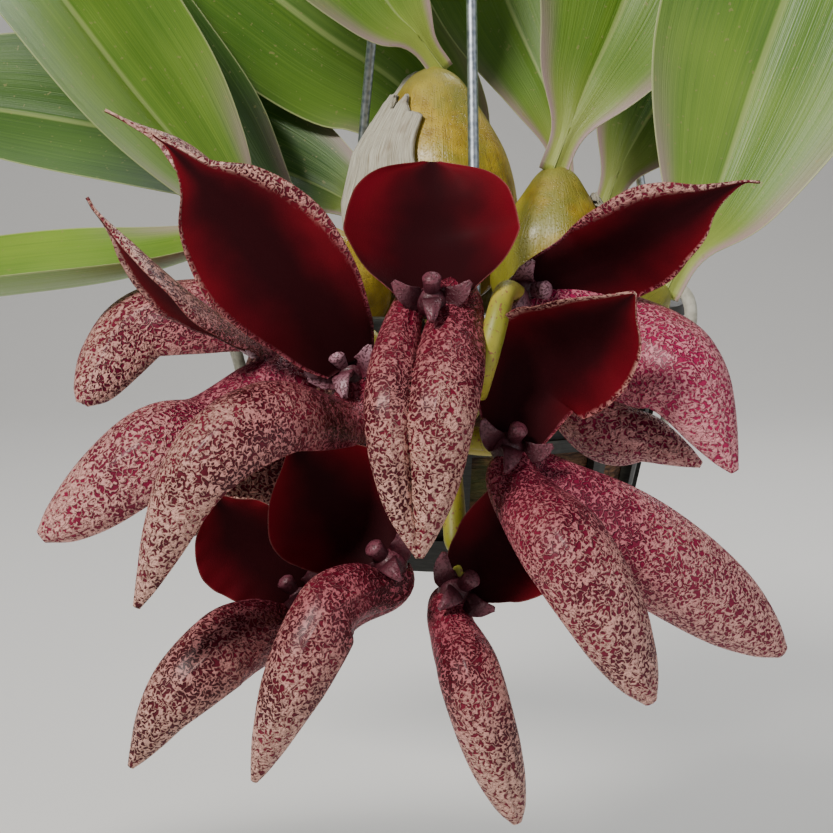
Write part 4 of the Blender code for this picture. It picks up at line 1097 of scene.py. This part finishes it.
# %% [markdown]
# ## Bark and basket
# The photograph hides the pot, so a grower's usual one is built plainly: a black slotted net
# basket filled with fir bark. Both keep the solid's exact form. A copy of each is merged and
# its flat faces joined, so that a bevel can round the real edges only.

# %% Bark and plastic
import bmesh

# The gap colour is painted shade between the bark chips.
BARK_SHADE, BARK, BARK_GAP_SHADE, MOSS = ((0.045, 0.018, 0.009), (0.26, 0.12, 0.055), (0.020, 0.010, 0.006),
                                    (0.07, 0.12, 0.02))
BLACK, WORN_BLACK, LIME = (0.012, 0.013, 0.012), (0.035, 0.037, 0.034), (0.16, 0.15, 0.12)
MERGE_GAP, FLAT_ANGLE, BEVEL_ANGLE, SHARP_ANGLE = 0.02, 1.5, 32, 40


def bark_finish():
    f = Finish("fir_bark")
    where = f.place()
    layers = f.noise(f.drawn(where, 5), 190, 4.0, 0.65, 1.2)
    chunks, moss = f.cells(where, 130), f.noise(where, 55, 3.0).between(0.60, 0.70)
    # Near black between the chunks: painted shade in the gaps between chips.
    colour = f.layers(BARK_SHADE, (BARK, layers.between(0.36, 0.66)),
                      (BARK_GAP_SHADE, chunks.between(0.28, 0.46) * 0.6), (MOSS, moss * 0.5))
    return f.done(Base_Color=colour, Roughness=0.82 + layers * 0.12,
                  Normal=f.bump(layers + chunks * 0.6, 0.0012, 0.8))


def plastic_finish():
    f = Finish("basket_plastic", Specular_IOR_Level=0.4)
    where = f.place()
    scuffs = f.noise(f.drawn(where, 8), 260, 3.0, 0.7)
    lime = f.noise(where, 90, 4.0, 0.65).between(0.58, 0.74)
    colour = f.layers(BLACK, (WORN_BLACK, scuffs.between(0.4, 0.7)), (LIME, lime * 0.35))
    return f.done(Base_Color=colour, Roughness=0.38 + scuffs * 0.2 + lime * 0.2,
                  Normal=f.bump(scuffs, 0.00015, 0.4))


def rounded_copy(name, node, finish, slot, width):
    """A solid's mesh, merged and freed of flat seams, with its real edges bevelled."""
    mesh = frame["nodes"][node].data.copy()
    bm = bmesh.new()
    bm.from_mesh(mesh)
    bmesh.ops.remove_doubles(bm, verts=bm.verts, dist=MERGE_GAP * MM)
    bmesh.ops.dissolve_limit(bm, angle_limit=math.radians(FLAT_ANGLE), verts=bm.verts, edges=bm.edges)
    bm.to_mesh(mesh)
    bm.free()
    mesh.name = name
    mesh.materials.clear()
    mesh.materials.append(finish)
    piece = bpy.data.objects.new(name, mesh)
    bevel = piece.modifiers.new("rounded", "BEVEL")
    bevel.width, bevel.segments = width * MM, 2
    bevel.limit_method, bevel.angle_limit = "ANGLE", math.radians(BEVEL_ANGLE)
    mesh.shade_smooth()
    mesh.set_sharp_from_angle(angle=math.radians(SHARP_ANGLE))
    settle(piece, slot, node)


rounded_copy("net_pot", "basket", plastic_finish(), "net_basket", 0.35)
rounded_copy("bark_fill", "bark_bed", bark_finish(), "bark", 0.5)
print("pot and bark made")

# %% [markdown]
# ## Hanger
# Three galvanised wires clip through the rim's lugs and meet at an eye under one hook. The
# front one crosses the photograph. The zinc is blue grey with dull crystals.

# %% Wires and hook
WIRE_RADIUS, HOOK_RADIUS, EYE_RADIUS = 1.0, 1.25, 7.0
HOOK_ARC, HOOK_SHANK = 10.0, 34.0
EYE_HEIGHT = HANG_DROP - HOOK_SHANK
LUG_REACH, CLIP_REACH = 2.6, 3.4
LAP = HOOK_RADIUS + WIRE_RADIUS + 0.55
HANGERS = {"front": (272.6, -1, 0.0), "right": (30.0, 1, 3.2), "left": (118.0, 1, -3.2)}
WIRE_ROWS, EYE_ROWS, HOOK_ROWS, STEEL_SIDES = 320, 96, 140, 24
ZINC_SHADE, ZINC = (0.26, 0.30, 0.35), (0.50, 0.54, 0.58)


def zinc_finish():
    f = Finish("galvanised_steel", Metallic=1.0)
    where = f.place()
    crystals, dulling = f.cells(where, 900), f.noise(where, 300, 3.0, 0.6)
    colour = f.mix(ZINC_SHADE, ZINC, (crystals * 0.7 + dulling * 0.5).between(0.3, 0.8))
    return f.done(Base_Color=colour, Roughness=0.30 + dulling * 0.28, Normal=f.bump(dulling, 0.00008, 0.4))


galvanised_steel = zinc_finish()


def wire_route(azimuth, side, x):
    """Up from a hook under the lug, straight to the eye, and once over it."""
    lug_x, lug_y, _ = polar(RIM_RADIUS + LUG_REACH, azimuth, 0)
    out_x, out_y, _ = polar(RIM_RADIUS + LUG_REACH + CLIP_REACH, azimuth, 0)
    seat = EYE_HEIGHT - math.sqrt(EYE_RADIUS**2 - x**2)
    lower = [(out_x, out_y, -8.2), (lug_x, lug_y, -6.2), (lug_x, lug_y, -2), (lug_x, lug_y, 3)]
    over = [(x, side * (LAP + 0.6), seat - 7), (x, side * LAP, seat)]
    over += [(x, side * LAP * math.cos(angle), seat + LAP * math.sin(angle))
             for angle in np.radians((45, 90, 135))]
    over += [(x, -side * LAP, seat), (x, -side * (LAP + 0.2), seat - 5)]
    first, last = np.array(lower[-1]), np.array(over[0])
    climb = [first + (last - first) * share for share in np.linspace(0, 1, 12)]
    return [*lower[:-1], *climb, *over[1:]]


def steel(route, rows, radius):
    """A round wire with rounded ends along a smooth route."""
    return tube(smooth_line(route, rows), rounded(np.full(rows, radius)), STEEL_SIDES)


def hook_skins():
    """The round eye that the wires hang from, then the shank and the bend above it."""
    turn = np.linspace(0, 2 * math.pi, EYE_ROWS, endpoint=False)
    eye = np.stack([EYE_RADIUS * np.cos(turn), 0 * turn, EYE_HEIGHT + EYE_RADIUS * np.sin(turn)], -1)
    eye_top, bend_z = EYE_HEIGHT + EYE_RADIUS, HANG_DROP + HOOK_RADIUS - HOOK_ARC
    shank = [(0, 0, eye_top - 0.2), (0, 0, eye_top + 3), (0, -0.7 * HOOK_ARC, bend_z - 9)]
    shank += [(0, HOOK_ARC * math.cos(angle), bend_z + HOOK_ARC * math.sin(angle))
              for angle in np.radians(np.arange(180, -50, -20))]
    return [tube(eye, np.full(EYE_ROWS, HOOK_RADIUS), STEEL_SIDES, wrap=True),
            steel(shank, HOOK_ROWS, HOOK_RADIUS)]


for name, hanger in HANGERS.items():
    add_piece(f"wire_{name}", [steel(wire_route(*hanger), WIRE_ROWS, WIRE_RADIUS)], from_basket,
              galvanised_steel, "steel_wire", f"hanger_wire_{name}")
add_piece("top_hook", hook_skins(), from_basket, galvanised_steel, "steel_wire", "hanger_hook")
print("wires and hook made")

# %% [markdown]
# ## Stage and light
# The object is shown in a plain pale studio: a floor that curves up behind, one broad key
# light from the upper left of the camera, as in the photograph, a weak fill and a rim light.

# %% Studio
FLOOR_Z, SHEET_HALF_WIDTH = -0.40, 6.0
PAPER_GREY, PAPER_WHITE = (0.70, 0.69, 0.67), (0.74, 0.73, 0.71)
SKY, SKY_STRENGTH = (0.80, 0.82, 0.85, 1), 0.22


def backdrop():
    """A sheet swept from a floor through a quarter circle to a wall, as a grid."""
    bend = np.linspace(0, math.pi / 2, 12)
    path_y = np.concatenate([[-6.0, 0.6], 0.9 + 0.5 * np.sin(bend), [1.4]])
    path_z = np.concatenate([[0.0, 0.0], 0.5 - 0.5 * np.cos(bend), [3.0]]) + FLOOR_Z
    x = np.array((-SHEET_HALF_WIDTH, SHEET_HALF_WIDTH))
    points = np.stack(np.broadcast_arrays(x[None], path_y[:, None], path_z[:, None]), -1).reshape(-1, 3)
    index = np.arange(len(points)).reshape(len(path_y), 2)
    faces = np.stack([index[:-1, 0], index[:-1, 1], index[1:, 1], index[1:, 0]], -1)
    mesh = bpy.data.meshes.new("backdrop")
    mesh.from_pydata(points.tolist(), [], faces.tolist())
    mesh.shade_smooth()
    f = Finish("studio_paper", Roughness=0.9)
    mesh.materials.append(f.done(Base_Color=f.mix(PAPER_GREY, PAPER_WHITE, f.noise(f.place(), 3.0))))
    sheet = bpy.data.objects.new("backdrop", mesh)
    link(sheet)


def lamp(name, place, size, power, colour):
    """A square lamp that points at the flowers."""
    light = bpy.data.objects.new(name, bpy.data.lights.new(name, "AREA"))
    light.data.size, light.data.energy, light.data.color = size, power, colour
    light.location = place
    x, y, z = AIM - np.array(place)
    light.rotation_euler = (math.atan2(math.hypot(x, y), -z), 0, math.atan2(-x, y))
    link(light)


backdrop()
lamp("key", (-0.50, -0.70, 0.45), 0.18, 13.0, (1.0, 0.96, 0.90))
lamp("fill", (0.9, -0.7, -0.1), 0.9, 2.6, (0.93, 0.96, 1.0))
lamp("rim", (0.3, 0.6, 0.5), 0.5, 8.0, (1.0, 1.0, 1.0))
world = bpy.data.worlds.new("studio")
world.use_nodes = True
sky = world.node_tree.nodes["Background"].inputs
sky["Color"].default_value, sky["Strength"].default_value = SKY, SKY_STRENGTH
bpy.context.scene.world = world
print("studio lit")
